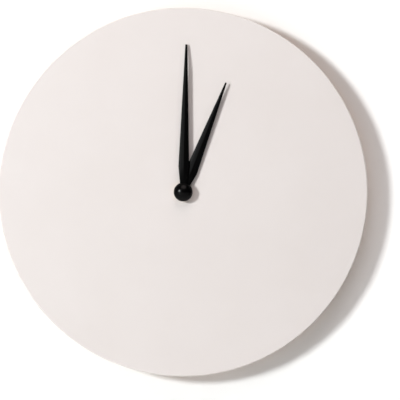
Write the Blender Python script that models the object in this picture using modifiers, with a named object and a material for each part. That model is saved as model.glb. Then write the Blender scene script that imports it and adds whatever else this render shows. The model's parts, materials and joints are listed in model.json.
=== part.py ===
"""A frameless wall clock: a plain round board, two folded hands under a domed cap, and a quartz movement behind it.

Everything is drawn in plan: X to the right and Y up as seen from the front, and Z the depth in front of the wall.
One empty stands the plan up, so that the finished clock has +Z up and its dial faces -Y. The origin is the point
of the movement's back that bears on the wall, on the axis of the hands.
"""

import math

import bmesh
import bpy
from mathutils import Matrix

MM = 0.001

# ---------------------------------------------------------------- clearances
REST_GAP = 0.3 * MM  # between two faces that rest on each other
RUN_GAP = 0.2 * MM  # around a shaft or pin, on the radius
LAYER_GAP = 0.45 * MM  # between one wheel of the train and the next
SINK = 0.2 * MM  # how far a joined piece reaches into the one it grows from

# ---------------------------------------------------------------- dial board
BOARD_DIAMETER = 250 * MM
BOARD_THICKNESS = 3.0 * MM
BOARD_EDGE_RADIUS = 0.8 * MM
BOARD_BACK_CHAMFER = 0.3 * MM

# ---------------------------------------------------------------- movement case
# The case closes round its contents: the battery and its spring set its width, the wheels and the battery how far
# it reaches down, the coil how far it reaches up, and the stack of wheels or the battery its depth.
CASE_CORNER = 3.0 * MM
CASE_WALL = 1.3 * MM
CASE_FRONT_PLATE = 1.5 * MM
BAY_FLOOR = 0.7 * MM
COVER_THICKNESS = 1.4 * MM
PARTITION = 1.2 * MM
ROOM_UNDER_WHEELS = 2.775 * MM  # from the third wheel's teeth to the partition, for the circuit board
ROOM_OVER_COIL = 0.6 * MM
BOSS_LENGTH = 1.7 * MM
NOTCH_RADIUS = 7.0 * MM  # the thumb notch in the bay's outer wall
NOTCH_DEPTH = 5.0 * MM
LUG_WIDTH = 5.0 * MM  # the snap lugs of the rear cover
LUG_THICKNESS = 1.2 * MM
LUG_REACH = 3.0 * MM

# ---------------------------------------------------------------- battery
BATTERY_DIAMETER = 14.0 * MM
BATTERY_BODY_LENGTH = 49.0 * MM
BATTERY_NUB_LENGTH = 1.0 * MM
BATTERY_NUB_RADIUS = 2.7 * MM
BATTERY_SIDE_GAP = 0.2 * MM
BATTERY_BACK_GAP = 0.5 * MM
CONTACT_THICKNESS = 0.3 * MM
CONTACT_WIDTH = 8.0 * MM
CONTACT_HEIGHT = 10.0 * MM
TONGUE_WIDTH = 2.0 * MM
SPRING_WIRE = 0.5 * MM
SPRING_WIDE = 4.2 * MM
SPRING_NARROW = 2.0 * MM
SPRING_TURNS = 2
SPRING_LENGTH = 1.6 * MM  # squeezed by the battery

# ---------------------------------------------------------------- fixing at the centre
BUSHING_RADIUS = 3.95 * MM
BUSHING_FLANGE_RADIUS = 5.2 * MM
BUSHING_FLANGE = 0.7 * MM
RUBBER_WASHER_RADIUS = 9.0 * MM
RUBBER_WASHER_THICKNESS = 0.5 * MM
BRASS_WASHER_RADIUS = 6.2 * MM
BRASS_WASHER_THICKNESS = 0.3 * MM
NUT_ACROSS_FLATS = 11.0 * MM
NUT_THICKNESS = 1.5 * MM
BOARD_HOLE_GAP = 0.35 * MM

# ---------------------------------------------------------------- pipes and arbors
SECONDS_ARBOR_RADIUS = 0.45 * MM
PIPE_WALL = 0.7 * MM
TRAIN_ARBOR_RADIUS = 0.5 * MM
ROTOR_ARBOR_RADIUS = 0.4 * MM
MOTION_ARBOR_RADIUS = 1.0 * MM
PIVOT_LENGTH = 0.7 * MM

# ---------------------------------------------------------------- gears
WHEEL_THICKNESS = 0.8 * MM
TOOTH_HEIGHT = 0.9  # of the module, outside the pitch circle
TOOTH_DEPTH = 1.25  # of the module, inside it
TIP_SHARE = 0.22  # of the pitch
ROOT_SHARE = 0.62
ROTOR_TEETH = 8
INTERMEDIATE_TEETH = 48
INTERMEDIATE_PINION_TEETH = 8
SECONDS_TEETH = 40
SECONDS_PINION_TEETH = 8
THIRD_TEETH = 64
THIRD_PINION_TEETH = 8
CENTRE_TEETH = 60
CANNON_TEETH = 12
MOTION_TEETH = 36
MOTION_PINION_TEETH = 10
HOUR_TEETH = 40
ROTOR_DISTANCE = 7.0 * MM
INTERMEDIATE_DISTANCE = 7.2 * MM
THIRD_DISTANCE = 9.0 * MM
CENTRE_WHEEL_TO_MOTION_ARBOR = 0.42 * MM
INTERMEDIATE_BEARING = math.radians(110)
ROTOR_BEARING = math.radians(80)
THIRD_BEARING = 0.0
MOTION_BEARING = math.pi
CLUTCH_THICKNESS = 0.4 * MM

# ---------------------------------------------------------------- stepping motor
MAGNET_RADIUS = 2.8 * MM
MAGNET_THICKNESS = 2.4 * MM
AIR_GAP = 0.5 * MM
STATOR_THICKNESS = 0.9 * MM
STATOR_HALF_WIDTH = 15.2 * MM
STATOR_LEG = 4.0 * MM
STATOR_RIM = 1.3 * MM
CORE_WIDTH = 3.0 * MM
COIL_TO_STATOR = 1.1 * MM
BOBBIN_WALL = 0.5 * MM
BOBBIN_FLANGE_RADIUS = 3.7 * MM
BOBBIN_FLANGE = 0.8 * MM
WINDING_RADIUS = 3.3 * MM
SCREW_RADIUS = 0.7 * MM
SCREW_HEAD_RADIUS = 1.5 * MM
SCREW_HEAD = 0.75 * MM

# ---------------------------------------------------------------- bridges and electronics
BRIDGE_THICKNESS = 1.0 * MM
POST_RADIUS = 1.3 * MM
PIN_RADIUS = 0.6 * MM
POST_TO_WHEEL = 0.475 * MM
POST_ASIDE = 19.5 * MM  # of the left posts, from the axis of the hands
POST_BELOW = 7.3 * MM
POST_ABOVE = 15.5 * MM
PILLAR_TO_WHEEL = 2.0 * MM
BRIDGE_MARGIN = 2.0 * MM  # from a post's axis to the edge of its bridge
CIRCUIT_THICKNESS = 0.8 * MM
CIRCUIT_END = 2.0 * MM  # from the crystal to the end of the circuit board
CRYSTAL_RADIUS = 0.95 * MM
CRYSTAL_LENGTH = 6.0 * MM
CHIP_RADIUS = 1.8 * MM
CHIP_HEIGHT = 1.1 * MM

# ---------------------------------------------------------------- knob and hanger
KNOB_RADIUS = 5.5 * MM
KNOB_THICKNESS = 1.0 * MM
KNOB_RIDGES = 24
KNOB_RIDGE_DEPTH = 0.35 * MM
RAIL_STEM = 1.5 * MM
RAIL_HEAD = 3.0 * MM
RAIL_STEP = 1.1 * MM
HANGER_DEPTH = 2.6 * MM
HANGER_FOOT_DEPTH = 7.4 * MM
HANGER_FOOT_HEIGHT = 3.3 * MM
HANGER_BACK = 1.5 * MM
HANGER_HALF_WIDTH = 9.0 * MM
HANGER_BAR = 3.5 * MM
NAIL_SLOT_HALF_WIDTH = 5.5 * MM
NAIL_SLOT_HEIGHT = 4.8 * MM
NAIL_SLOT_FOOT = 1.7 * MM
NAIL_NOTCH = 0.9 * MM

# ---------------------------------------------------------------- hands and cap
HOUR_LENGTH = 79.5 * MM
HOUR_HALF_WIDTH = 4.2 * MM
HOUR_WIDEST_AT = 14.3 * MM
HOUR_NECK = 1.6 * MM
HOUR_TIP = 0.55 * MM
HOUR_THICKNESS = 0.35 * MM
HOUR_RISE = 0.45 * MM
HOUR_HUB_RADIUS = 4.6 * MM
HOUR_ANGLE = math.radians(21.4)
COLLET_WALL = 0.6 * MM
COLLET_FLANGE_RADIUS = 4.3 * MM
COLLET_FLANGE = 0.35 * MM
MINUTE_LENGTH = 100.0 * MM
MINUTE_HALF_WIDTH = 3.63 * MM
MINUTE_WIDEST_AT = 17.4 * MM
MINUTE_NECK = 1.6 * MM
MINUTE_TIP = 0.72 * MM
MINUTE_THICKNESS = 0.3 * MM
MINUTE_DROP = 2.4 * MM
MINUTE_BEND_MARGIN = 4.5 * MM  # how far short of the hour hand's tip the bend starts
MINUTE_HUB_RADIUS = 4.4 * MM
MINUTE_ANGLE = math.radians(1.25)
HUB_EXTRA = 0.05 * MM  # how much a hub is thicker than its blade, on each side
FOLD = 0.20  # fall of a blade's edge for its distance from the ridge
FOLD_STARTS_AT = 7.0 * MM
HAND_GAP = 0.45 * MM  # between the hour collet and the minute hand
CAP_RADIUS = 6.4 * MM
CAP_RIM = 0.5 * MM
CAP_CURVE = 1.18  # radius of the dome over the radius of the cap
CAP_BORE_DEPTH = 1.8 * MM

# ---------------------------------------------------------------- depths in front of the wall
cover_front = COVER_THICKNESS
bridge_back = cover_front + REST_GAP
bridge_front = bridge_back + BRIDGE_THICKNESS
intermediate_back = bridge_front + LAYER_GAP
seconds_back = intermediate_back + WHEEL_THICKNESS + LAYER_GAP
third_back = seconds_back + WHEEL_THICKNESS + LAYER_GAP
centre_back = third_back + WHEEL_THICKNESS + LAYER_GAP
clutch_back = centre_back + WHEEL_THICKNESS + RUN_GAP
cannon_back = clutch_back + CLUTCH_THICKNESS + RUN_GAP
motion_back = cannon_back + LAYER_GAP / 2
cannon_front = motion_back + WHEEL_THICKNESS + LAYER_GAP / 2
hour_back = cannon_front + LAYER_GAP
hour_front = hour_back + WHEEL_THICKNESS
middle_back = third_back
middle_front = middle_back + WHEEL_THICKNESS
stator_back = centre_back + WHEEL_THICKNESS + LAYER_GAP
magnet_back = stator_back - (MAGNET_THICKNESS - STATOR_THICKNESS) / 2
core_back = stator_back + STATOR_THICKNESS + REST_GAP
core_front = core_back + STATOR_THICKNESS
boss_back = hour_front + 2 * LAYER_GAP + REST_GAP
train_depth = boss_back + BOSS_LENGTH + CASE_FRONT_PLATE
bay_depth = BATTERY_BACK_GAP + BATTERY_DIAMETER + BATTERY_SIDE_GAP + BAY_FLOOR
case_depth = max(train_depth, bay_depth)
case_inner_front = case_depth - CASE_FRONT_PLATE
flange_front = case_inner_front - REST_GAP
flange_back = flange_front - BUSHING_FLANGE
arbor_front = case_inner_front - 2 * REST_GAP
rubber_back = case_depth + REST_GAP
rubber_front = rubber_back + RUBBER_WASHER_THICKNESS
board_back = rubber_front + REST_GAP
board_front = board_back + BOARD_THICKNESS
brass_back = board_front + REST_GAP
brass_front = brass_back + BRASS_WASHER_THICKNESS
nut_back = brass_front + REST_GAP
nut_front = nut_back + NUT_THICKNESS
hour_hand_back = nut_front + REST_GAP
hour_hand_front = hour_hand_back + HOUR_THICKNESS
collet_front = hour_hand_front + RUN_GAP + COLLET_FLANGE
minute_hand_back = collet_front + HAND_GAP
minute_hand_front = minute_hand_back + MINUTE_THICKNESS
cap_back = minute_hand_front + REST_GAP

# ---------------------------------------------------------------- radii of the nested pipes
minute_bore = SECONDS_ARBOR_RADIUS + RUN_GAP
minute_pipe_radius = minute_bore + PIPE_WALL
hour_bore = minute_pipe_radius + RUN_GAP
hour_pipe_radius = hour_bore + PIPE_WALL
bushing_bore = hour_pipe_radius + RUN_GAP
collet_bore = hour_pipe_radius + RUN_GAP
collet_radius = collet_bore + COLLET_WALL

# ---------------------------------------------------------------- where each axis stands, in plan


def away(start, distance, bearing):
    """The point at a distance and a bearing from another."""
    return (start[0] + distance * math.cos(bearing), start[1] + distance * math.sin(bearing))


def module_of(distance, teeth, other_teeth):
    """The module that puts two meshed gears this far apart."""
    return 2 * distance / (teeth + other_teeth)


def tip_radius(teeth, module):
    """The radius over a gear's teeth."""
    return (teeth / 2 + TOOTH_HEIGHT) * module


ROTOR_MODULE = module_of(ROTOR_DISTANCE, ROTOR_TEETH, INTERMEDIATE_TEETH)
SECONDS_MODULE = module_of(INTERMEDIATE_DISTANCE, INTERMEDIATE_PINION_TEETH, SECONDS_TEETH)
THIRD_MODULE = module_of(THIRD_DISTANCE, SECONDS_PINION_TEETH, THIRD_TEETH)
CENTRE_MODULE = module_of(THIRD_DISTANCE, THIRD_PINION_TEETH, CENTRE_TEETH)
motion_distance = tip_radius(CENTRE_TEETH, CENTRE_MODULE) + CENTRE_WHEEL_TO_MOTION_ARBOR + MOTION_ARBOR_RADIUS
CANNON_MODULE = module_of(motion_distance, CANNON_TEETH, MOTION_TEETH)
HOUR_MODULE = module_of(motion_distance, MOTION_PINION_TEETH, HOUR_TEETH)

HANDS_AXIS = (0.0, 0.0)
INTERMEDIATE_AXIS = away(HANDS_AXIS, INTERMEDIATE_DISTANCE, INTERMEDIATE_BEARING)
ROTOR_AXIS = away(INTERMEDIATE_AXIS, ROTOR_DISTANCE, ROTOR_BEARING)
THIRD_AXIS = away(HANDS_AXIS, THIRD_DISTANCE, THIRD_BEARING)
MOTION_AXIS = away(HANDS_AXIS, motion_distance, MOTION_BEARING)


def mating_phase(phase, teeth, other_teeth, bearing):
    """The angle of the other gear's first tooth that puts a gap in front of each tooth of this one."""
    return bearing + math.pi + math.pi / other_teeth - (phase - bearing) * teeth / other_teeth


intermediate_phase = mating_phase(0, ROTOR_TEETH, INTERMEDIATE_TEETH, ROTOR_BEARING + math.pi)
seconds_phase = mating_phase(0, INTERMEDIATE_PINION_TEETH, SECONDS_TEETH, INTERMEDIATE_BEARING + math.pi)
third_phase = mating_phase(0, SECONDS_PINION_TEETH, THIRD_TEETH, THIRD_BEARING)
centre_phase = mating_phase(0, THIRD_PINION_TEETH, CENTRE_TEETH, THIRD_BEARING + math.pi)
motion_phase = mating_phase(0, CANNON_TEETH, MOTION_TEETH, MOTION_BEARING)
hour_phase = mating_phase(0, MOTION_PINION_TEETH, HOUR_TEETH, MOTION_BEARING + math.pi)

# ---------------------------------------------------------------- posts, coil and case, in plan
third_tip = tip_radius(THIRD_TEETH, THIRD_MODULE)
intermediate_tip = tip_radius(INTERMEDIATE_TEETH, ROTOR_MODULE)
posts_right = THIRD_AXIS[0] + third_tip + POST_TO_WHEEL + POST_RADIUS
BRIDGE_POSTS = [(x, y) for y in (-POST_BELOW, POST_ABOVE) for x in (-POST_ASIDE, posts_right)]
pillar_radius = PIN_RADIUS + PIPE_WALL
pillars_left = INTERMEDIATE_AXIS[0] - intermediate_tip - PILLAR_TO_WHEEL - pillar_radius
MIDDLE_PILLARS = [
    (pillars_left, INTERMEDIATE_AXIS[1] - pillar_radius),
    (pillars_left, ROTOR_AXIS[1] + MAGNET_RADIUS),
    (ROTOR_AXIS[0], ROTOR_AXIS[1] + PILLAR_TO_WHEEL + pillar_radius),
]
stator_hole = MAGNET_RADIUS + AIR_GAP
stator_top = ROTOR_AXIS[1] + stator_hole + STATOR_RIM / 2
coil_height = stator_top + COIL_TO_STATOR + BOBBIN_FLANGE_RADIUS
case_top = coil_height + BOBBIN_FLANGE_RADIUS + ROOM_OVER_COIL + CASE_WALL
case_inner_top = case_top - CASE_WALL
battery_radius = BATTERY_DIAMETER / 2
contact_room = REST_GAP + CONTACT_THICKNESS + REST_GAP
inner_half = (BATTERY_BODY_LENGTH + BATTERY_NUB_LENGTH + SPRING_LENGTH) / 2 + contact_room
case_half = inner_half + CASE_WALL
partition_top = -third_tip - ROOM_UNDER_WHEELS
partition_bottom = partition_top - PARTITION
battery_height = partition_bottom - REST_GAP - battery_radius
case_inner_bottom = battery_height - battery_radius - BATTERY_SIDE_GAP
case_bottom = case_inner_bottom - CASE_WALL
battery_depth = case_depth - BAY_FLOOR - BATTERY_SIDE_GAP - battery_radius
circuit_bottom = partition_top + REST_GAP
circuit_top = circuit_bottom + CIRCUIT_THICKNESS
cover_bottom = partition_bottom + PARTITION / 2
rail_top = case_top + 2 * RAIL_STEP
rail_back = cover_front + REST_GAP
rail_front = HANGER_BACK + HANGER_FOOT_DEPTH

# ---------------------------------------------------------------- modelling helpers
for old in list(bpy.data.objects):
    bpy.data.objects.remove(old, do_unlink=True)

clock = bpy.data.collections.new("wall_clock")
cutters = bpy.data.collections.new("cutters")
bpy.context.scene.collection.children.link(clock)
bpy.context.scene.collection.children.link(cutters)

stand = bpy.data.objects.new("clock_plan", None)
stand.rotation_euler = (math.pi / 2, 0, 0)
clock.objects.link(stand)


# Each finish is a colour, a roughness and a metallic value.
WHITE_BOARD = ((0.82, 0.79, 0.77), 0.45, 0.0)
BLACK_LACQUER = ((0.008, 0.008, 0.009), 0.35, 0.3)
BLACK_GLOSS = ((0.006, 0.006, 0.006), 0.08, 0.0)
BLACK_PLASTIC = ((0.02, 0.02, 0.022), 0.5, 0.0)
WHITE_PLASTIC = ((0.75, 0.75, 0.72), 0.4, 0.0)
BRASS = ((0.72, 0.52, 0.22), 0.3, 1.0)
STEEL = ((0.55, 0.56, 0.58), 0.35, 1.0)
COPPER = ((0.70, 0.33, 0.18), 0.35, 1.0)
BLACK_RUBBER = ((0.02, 0.02, 0.02), 0.8, 0.0)
GREEN_LAMINATE = ((0.03, 0.20, 0.08), 0.4, 0.0)
BATTERY_JACKET = ((0.05, 0.12, 0.30), 0.3, 0.2)
MAGNET = ((0.12, 0.12, 0.13), 0.4, 0.8)


def material(name, finish):
    """A piece's own Principled BSDF material."""
    colour, roughness, metallic = finish
    made = bpy.data.materials.new(name)
    made.use_nodes = True
    shader = made.node_tree.nodes["Principled BSDF"]
    shader.inputs["Base Color"].default_value = (*colour, 1)
    shader.inputs["Roughness"].default_value = roughness
    shader.inputs["Metallic"].default_value = metallic
    return made


def add(name, data, finish, at=HANDS_AXIS, depth=0.0, turn=0.0):
    """A named piece of the clock, standing on the plan at a point and a depth."""
    piece = bpy.data.objects.new(name, data)
    data.materials.append(material(name, finish))
    piece.location = (at[0], at[1], depth)
    piece.rotation_euler = (0, 0, turn)
    piece.parent = stand
    clock.objects.link(piece)
    return piece


def smooth(piece, degrees=35):
    """Shades a round piece smooth across its shallow edges."""
    piece.data.shade_smooth()
    piece.data.set_sharp_from_angle(angle=math.radians(degrees))


def circle(radius, at=(0.0, 0.0), points=24):
    """The points of a circle."""
    return [away(at, radius, 2 * math.pi * i / points) for i in range(points)]


def rectangle(left, right, bottom, top, corner=0.0, steps=4):
    """A rectangle's outline, with rounded corners if a radius is given."""
    if corner == 0:
        return [(left, bottom), (right, bottom), (right, top), (left, top)]
    points = []
    centres = [(right, top, 0), (left, top, 1), (left, bottom, 2), (right, bottom, 3)]
    for x, y, quarter in centres:
        centre = (x - math.copysign(corner, x - left - corner), y - math.copysign(corner, y - bottom - corner))
        for step in range(steps + 1):
            points.append(away(centre, corner, (quarter + step / steps) * math.pi / 2))
    return points


def gear_outline(teeth, module, phase=0.0, at=(0.0, 0.0)):
    """A spur gear's outline of straight-sided teeth."""
    pitch_radius = teeth * module / 2
    root = pitch_radius - TOOTH_DEPTH * module
    tip = tip_radius(teeth, module)
    half_pitch = math.pi / teeth
    points = []
    for tooth in range(teeth):
        middle = phase + 2 * half_pitch * tooth
        for radius, share, side in (
            (root, ROOT_SHARE, -1),
            (tip, TIP_SHARE, -1),
            (tip, TIP_SHARE, 1),
            (root, ROOT_SHARE, 1),
        ):
            points.append(away(at, radius, middle + side * share * half_pitch))
    return points


def flat_mesh(name, outlines, back, front):
    """The closed mesh of a plate between two depths: the first outline is its edge, and the others are holes."""
    drawing = bpy.data.curves.new(name, "CURVE")
    drawing.dimensions = "2D"
    drawing.fill_mode = "BOTH"
    drawing.extrude = (front - back) / 2
    for outline in outlines:
        spline = drawing.splines.new("POLY")
        spline.points.add(len(outline) - 1)
        for point, (x, y) in zip(spline.points, outline):
            point.co = (x, y, 0, 1)
        spline.use_cyclic_u = True
    guide = bpy.data.objects.new(name + "_drawing", drawing)
    cutters.objects.link(guide)
    bpy.context.view_layer.update()
    evaluated = guide.evaluated_get(bpy.context.evaluated_depsgraph_get())
    mesh = bpy.data.meshes.new_from_object(evaluated)
    bpy.data.objects.remove(guide)
    cleaned = bmesh.new()
    cleaned.from_mesh(mesh)
    bmesh.ops.remove_doubles(cleaned, verts=cleaned.verts, dist=1e-7)
    bmesh.ops.translate(cleaned, verts=cleaned.verts, vec=(0, 0, (front + back) / 2))
    bmesh.ops.recalc_face_normals(cleaned, faces=cleaned.faces)
    cleaned.to_mesh(mesh)
    cleaned.free()
    mesh.name = name
    return mesh


def cylinder_mesh(name, radius, back, front, points=24):
    """The closed mesh of a cylinder along Z between two depths."""
    mesh = bpy.data.meshes.new(name)
    shape = bmesh.new()
    bmesh.ops.create_cone(
        shape,
        cap_ends=True,
        segments=points,
        radius1=radius,
        radius2=radius,
        depth=front - back,
        matrix=Matrix.Translation((0, 0, (front + back) / 2)),
    )
    shape.to_mesh(mesh)
    shape.free()
    return mesh


def box_mesh(name, low, high):
    """The closed mesh of a box between two corners."""
    mesh = bpy.data.meshes.new(name)
    shape = bmesh.new()
    middle = [(a + b) / 2 for a, b in zip(low, high)]
    size = [b - a for a, b in zip(low, high)]
    bmesh.ops.create_cube(shape, size=1, matrix=Matrix.Translation(middle) @ Matrix.Diagonal((*size, 1)))
    shape.to_mesh(mesh)
    shape.free()
    return mesh


def turned(name, profile, finish, at=HANDS_AXIS, closed=True, points=32, turn_axis=None):
    """A turned piece from its half section. The section runs down its outer side."""
    mesh = bpy.data.meshes.new(name)
    shape = bmesh.new()
    corners = [shape.verts.new((radius, 0, depth)) for radius, depth in profile]
    for start, end in zip(corners, corners[1:]):
        shape.edges.new((start, end))
    if closed:
        shape.edges.new((corners[-1], corners[0]))
    shape.to_mesh(mesh)
    shape.free()
    piece = add(name, mesh, finish, at)
    if turn_axis is not None:
        piece.rotation_euler = turn_axis
    spin = piece.modifiers.new("turning", "SCREW")
    spin.axis = "Z"
    spin.angle = 2 * math.pi
    spin.steps = points
    spin.render_steps = points
    spin.use_merge_vertices = True
    spin.merge_threshold = 1e-6
    spin.use_smooth_shade = False
    return piece


def ring(bore, radius, back, front):
    """The half section of a plain ring."""
    return [(radius, front), (radius, back), (bore, back), (bore, front)]


def tool(name, mesh, base, at=(0.0, 0.0), depth=0.0, turn_axis=None):
    """A hidden shape that a piece is joined with or cut by, which moves with the piece."""
    shape = bpy.data.objects.new(name, mesh)
    shape.parent = base
    shape.location = (at[0], at[1], depth)
    if turn_axis is not None:
        shape.rotation_euler = turn_axis
    shape.hide_render = True
    shape.display_type = "WIRE"
    cutters.objects.link(shape)
    return shape


def boolean(piece, shape, operation):
    """Joins a piece with a hidden shape, or cuts the shape out of it."""
    change = piece.modifiers.new(shape.name, "BOOLEAN")
    change.operation = operation
    change.solver = "EXACT"
    change.object = shape


def join(piece, name, mesh, at=(0.0, 0.0), turn_axis=None):
    boolean(piece, tool(name, mesh, piece, at, turn_axis=turn_axis), "UNION")


def cut(piece, name, mesh, at=(0.0, 0.0), turn_axis=None):
    boolean(piece, tool(name, mesh, piece, at, turn_axis=turn_axis), "DIFFERENCE")


# ---------------------------------------------------------------- dial board and its fixing


def build_board():
    radius = BOARD_DIAMETER / 2
    edge = BOARD_EDGE_RADIUS
    rim = []
    for step in range(4):
        angle = math.pi / 2 * (1 - step / 3)
        rim.append((radius - edge + edge * math.cos(angle), board_front - edge + edge * math.sin(angle)))
    hole = BUSHING_RADIUS + BOARD_HOLE_GAP
    section = [
        *rim,
        (radius, board_back + BOARD_BACK_CHAMFER),
        (radius - BOARD_BACK_CHAMFER, board_back),
        (hole, board_back),
        (hole, board_front),
    ]
    smooth(turned("dial_board", section, WHITE_BOARD, points=80))


def build_fixing():
    hole = BUSHING_RADIUS + RUN_GAP
    rubber = turned("rubber_washer", ring(hole, RUBBER_WASHER_RADIUS, rubber_back, rubber_front), BLACK_RUBBER)
    brass = turned("brass_washer", ring(hole, BRASS_WASHER_RADIUS, brass_back, brass_front), BRASS)
    bushing_section = [
        (BUSHING_RADIUS, nut_front),
        (BUSHING_RADIUS, flange_front),
        (BUSHING_FLANGE_RADIUS, flange_front),
        (BUSHING_FLANGE_RADIUS, flange_back),
        (bushing_bore, flange_back),
        (bushing_bore, nut_front),
    ]
    bushing = turned("threaded_bushing", bushing_section, BRASS)
    for piece in (rubber, brass, bushing):
        smooth(piece)
    corner = NUT_ACROSS_FLATS / 2 / math.cos(math.pi / 6)
    add("hex_nut", flat_mesh("hex_nut", [circle(corner, points=6), circle(hole)], nut_back, nut_front), BRASS)


# ---------------------------------------------------------------- movement shell


def build_front_case():
    outline = rectangle(-case_half, case_half, case_bottom, case_top, CASE_CORNER)
    case = add("front_case", flat_mesh("front_case", [outline], 0, case_depth), BLACK_PLASTIC)
    beyond = -CASE_WALL
    cut(
        case,
        "gear_room",
        box_mesh("gear_room", (-inner_half, partition_top, beyond), (inner_half, case_inner_top, case_inner_front)),
    )
    cut(
        case,
        "battery_room",
        box_mesh(
            "battery_room",
            (-inner_half, case_inner_bottom, beyond),
            (inner_half, partition_bottom, case_depth - BAY_FLOOR),
        ),
    )
    notch = cylinder_mesh("thumb_notch", NOTCH_RADIUS, -2 * CASE_WALL, 2 * CASE_WALL, 32)
    lying_down = (math.pi / 2, 0, 0)
    notch_shape = tool("thumb_notch", notch, case, (0, case_bottom), NOTCH_DEPTH - NOTCH_RADIUS, lying_down)
    boolean(case, notch_shape, "DIFFERENCE")
    cut(
        case,
        "cover_seat",
        box_mesh(
            "cover_seat",
            (-case_half - CASE_WALL, cover_bottom - REST_GAP, beyond),
            (case_half + CASE_WALL, case_top + CASE_WALL, cover_front + REST_GAP),
        ),
    )
    for side in (-1, 1):
        inner = side * (inner_half - contact_room)
        outer = side * inner_half
        slot = box_mesh(
            "tongue_slot",
            (min(inner, outer), partition_bottom - SINK, battery_depth - TONGUE_WIDTH / 2 - REST_GAP),
            (max(inner, outer), partition_top + SINK, battery_depth + TONGUE_WIDTH / 2 + REST_GAP),
        )
        cut(case, "tongue_slot", slot)
    front = case_inner_front + SINK
    for at in BRIDGE_POSTS:
        join(case, "bridge_post", cylinder_mesh("bridge_post", POST_RADIUS, bridge_front + REST_GAP, front, 12), at)
        join(case, "bridge_pin", cylinder_mesh("bridge_pin", PIN_RADIUS, bridge_back, front, 10), at)
    for side in (-1, 1):
        at = (side * (STATOR_HALF_WIDTH - STATOR_LEG / 2), coil_height)
        join(case, "coil_post", cylinder_mesh("coil_post", STATOR_LEG / 2, core_front + REST_GAP, front, 16), at)
        cut(case, "coil_hole", cylinder_mesh("coil_hole", SCREW_RADIUS + RUN_GAP, core_front, arbor_front, 12), at)
    for name, at, radius, back in (
        ("third", THIRD_AXIS, TRAIN_ARBOR_RADIUS, boss_back),
        ("motion", MOTION_AXIS, MOTION_ARBOR_RADIUS, boss_back),
        ("rotor", ROTOR_AXIS, ROTOR_ARBOR_RADIUS, magnet_back + MAGNET_THICKNESS + LAYER_GAP),
    ):
        bore = radius + RUN_GAP
        join(case, name + "_boss", cylinder_mesh(name + "_boss", bore + PIPE_WALL, back, front, 16), at)
        cut(case, name + "_pivot", cylinder_mesh(name + "_pivot", bore, back - SINK, arbor_front + RUN_GAP, 16), at)
    hole = BUSHING_RADIUS + RUN_GAP
    cut(case, "bushing_hole", cylinder_mesh("bushing_hole", hole, boss_back, case_depth + SINK, 32))
    join(
        case,
        "rail_stem",
        box_mesh("rail_stem", (-RAIL_STEM, case_inner_top, rail_back), (RAIL_STEM, rail_top, rail_front)),
    )
    join(
        case,
        "rail_head",
        box_mesh(
            "rail_head",
            (-RAIL_HEAD, case_top + RAIL_STEP, rail_back),
            (RAIL_HEAD, rail_top, rail_front),
        ),
    )


def build_rear_cover():
    outline = rectangle(-case_half, case_half, case_bottom, case_top, CASE_CORNER)
    opening = circle(KNOB_RADIUS + 2 * RUN_GAP, MOTION_AXIS, 32)
    cover = add("rear_cover", flat_mesh("rear_cover", [outline, opening], 0, cover_front), BLACK_PLASTIC)
    low = (-2 * case_half, 2 * case_bottom, -cover_front)
    cut(cover, "bay_side", box_mesh("bay_side", low, (2 * case_half, cover_bottom, 2 * cover_front)))
    outer = inner_half - REST_GAP
    for side in (-1, 1):
        for height in (0, POST_ABOVE):
            ends = sorted((side * outer, side * (outer - LUG_THICKNESS)))
            low = (ends[0], height, cover_front - SINK)
            high = (ends[1], height + LUG_WIDTH, cover_front + LUG_REACH)
            join(cover, "snap_lug", box_mesh("snap_lug", low, high))


def build_hanger():
    foot_bottom = case_top + REST_GAP
    foot_top = foot_bottom + HANGER_FOOT_HEIGHT
    slot_bottom = foot_top + NAIL_SLOT_FOOT
    slot_top = slot_bottom + NAIL_SLOT_HEIGHT
    arch = slot_top + HANGER_BAR
    shoulder = slot_top - HANGER_BAR / 2
    outline = [(-HANGER_HALF_WIDTH, foot_top - SINK), (HANGER_HALF_WIDTH, foot_top - SINK)]
    steps = 10
    for step in range(steps + 1):
        angle = math.pi * step / steps
        outline.append((HANGER_HALF_WIDTH * math.cos(angle), shoulder + (arch - shoulder) * math.sin(angle)))
    half = NAIL_SLOT_HALF_WIDTH
    slot = [
        (-half, slot_bottom),
        (half, slot_bottom),
        (half, slot_top),
        (NAIL_NOTCH, slot_top),
        (0, slot_top + NAIL_NOTCH),
        (-NAIL_NOTCH, slot_top),
        (-half, slot_top),
    ]
    loop = flat_mesh("hanger_loop", [outline, slot], HANGER_BACK, HANGER_BACK + HANGER_DEPTH)
    hanger = add("hanger_loop", loop, BLACK_PLASTIC)
    foot_half = RAIL_HEAD + 2.5 * MM
    foot_front = HANGER_BACK + HANGER_FOOT_DEPTH
    foot = box_mesh("hanger_foot", (-foot_half, foot_bottom, HANGER_BACK), (foot_half, foot_top, foot_front))
    join(hanger, "hanger_foot", foot)
    back, front = HANGER_BACK - CASE_WALL, foot_front + CASE_WALL
    stem = RAIL_STEM + REST_GAP
    head = RAIL_HEAD + REST_GAP
    cut(hanger, "stem_groove", box_mesh("stem_groove", (-stem, case_top, back), (stem, rail_top, front)))
    head_low = case_top + RAIL_STEP - REST_GAP
    head_high = rail_top + REST_GAP
    cut(hanger, "head_groove", box_mesh("head_groove", (-head, head_low, back), (head, head_high, front)))


# ---------------------------------------------------------------- bearing plates


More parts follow.
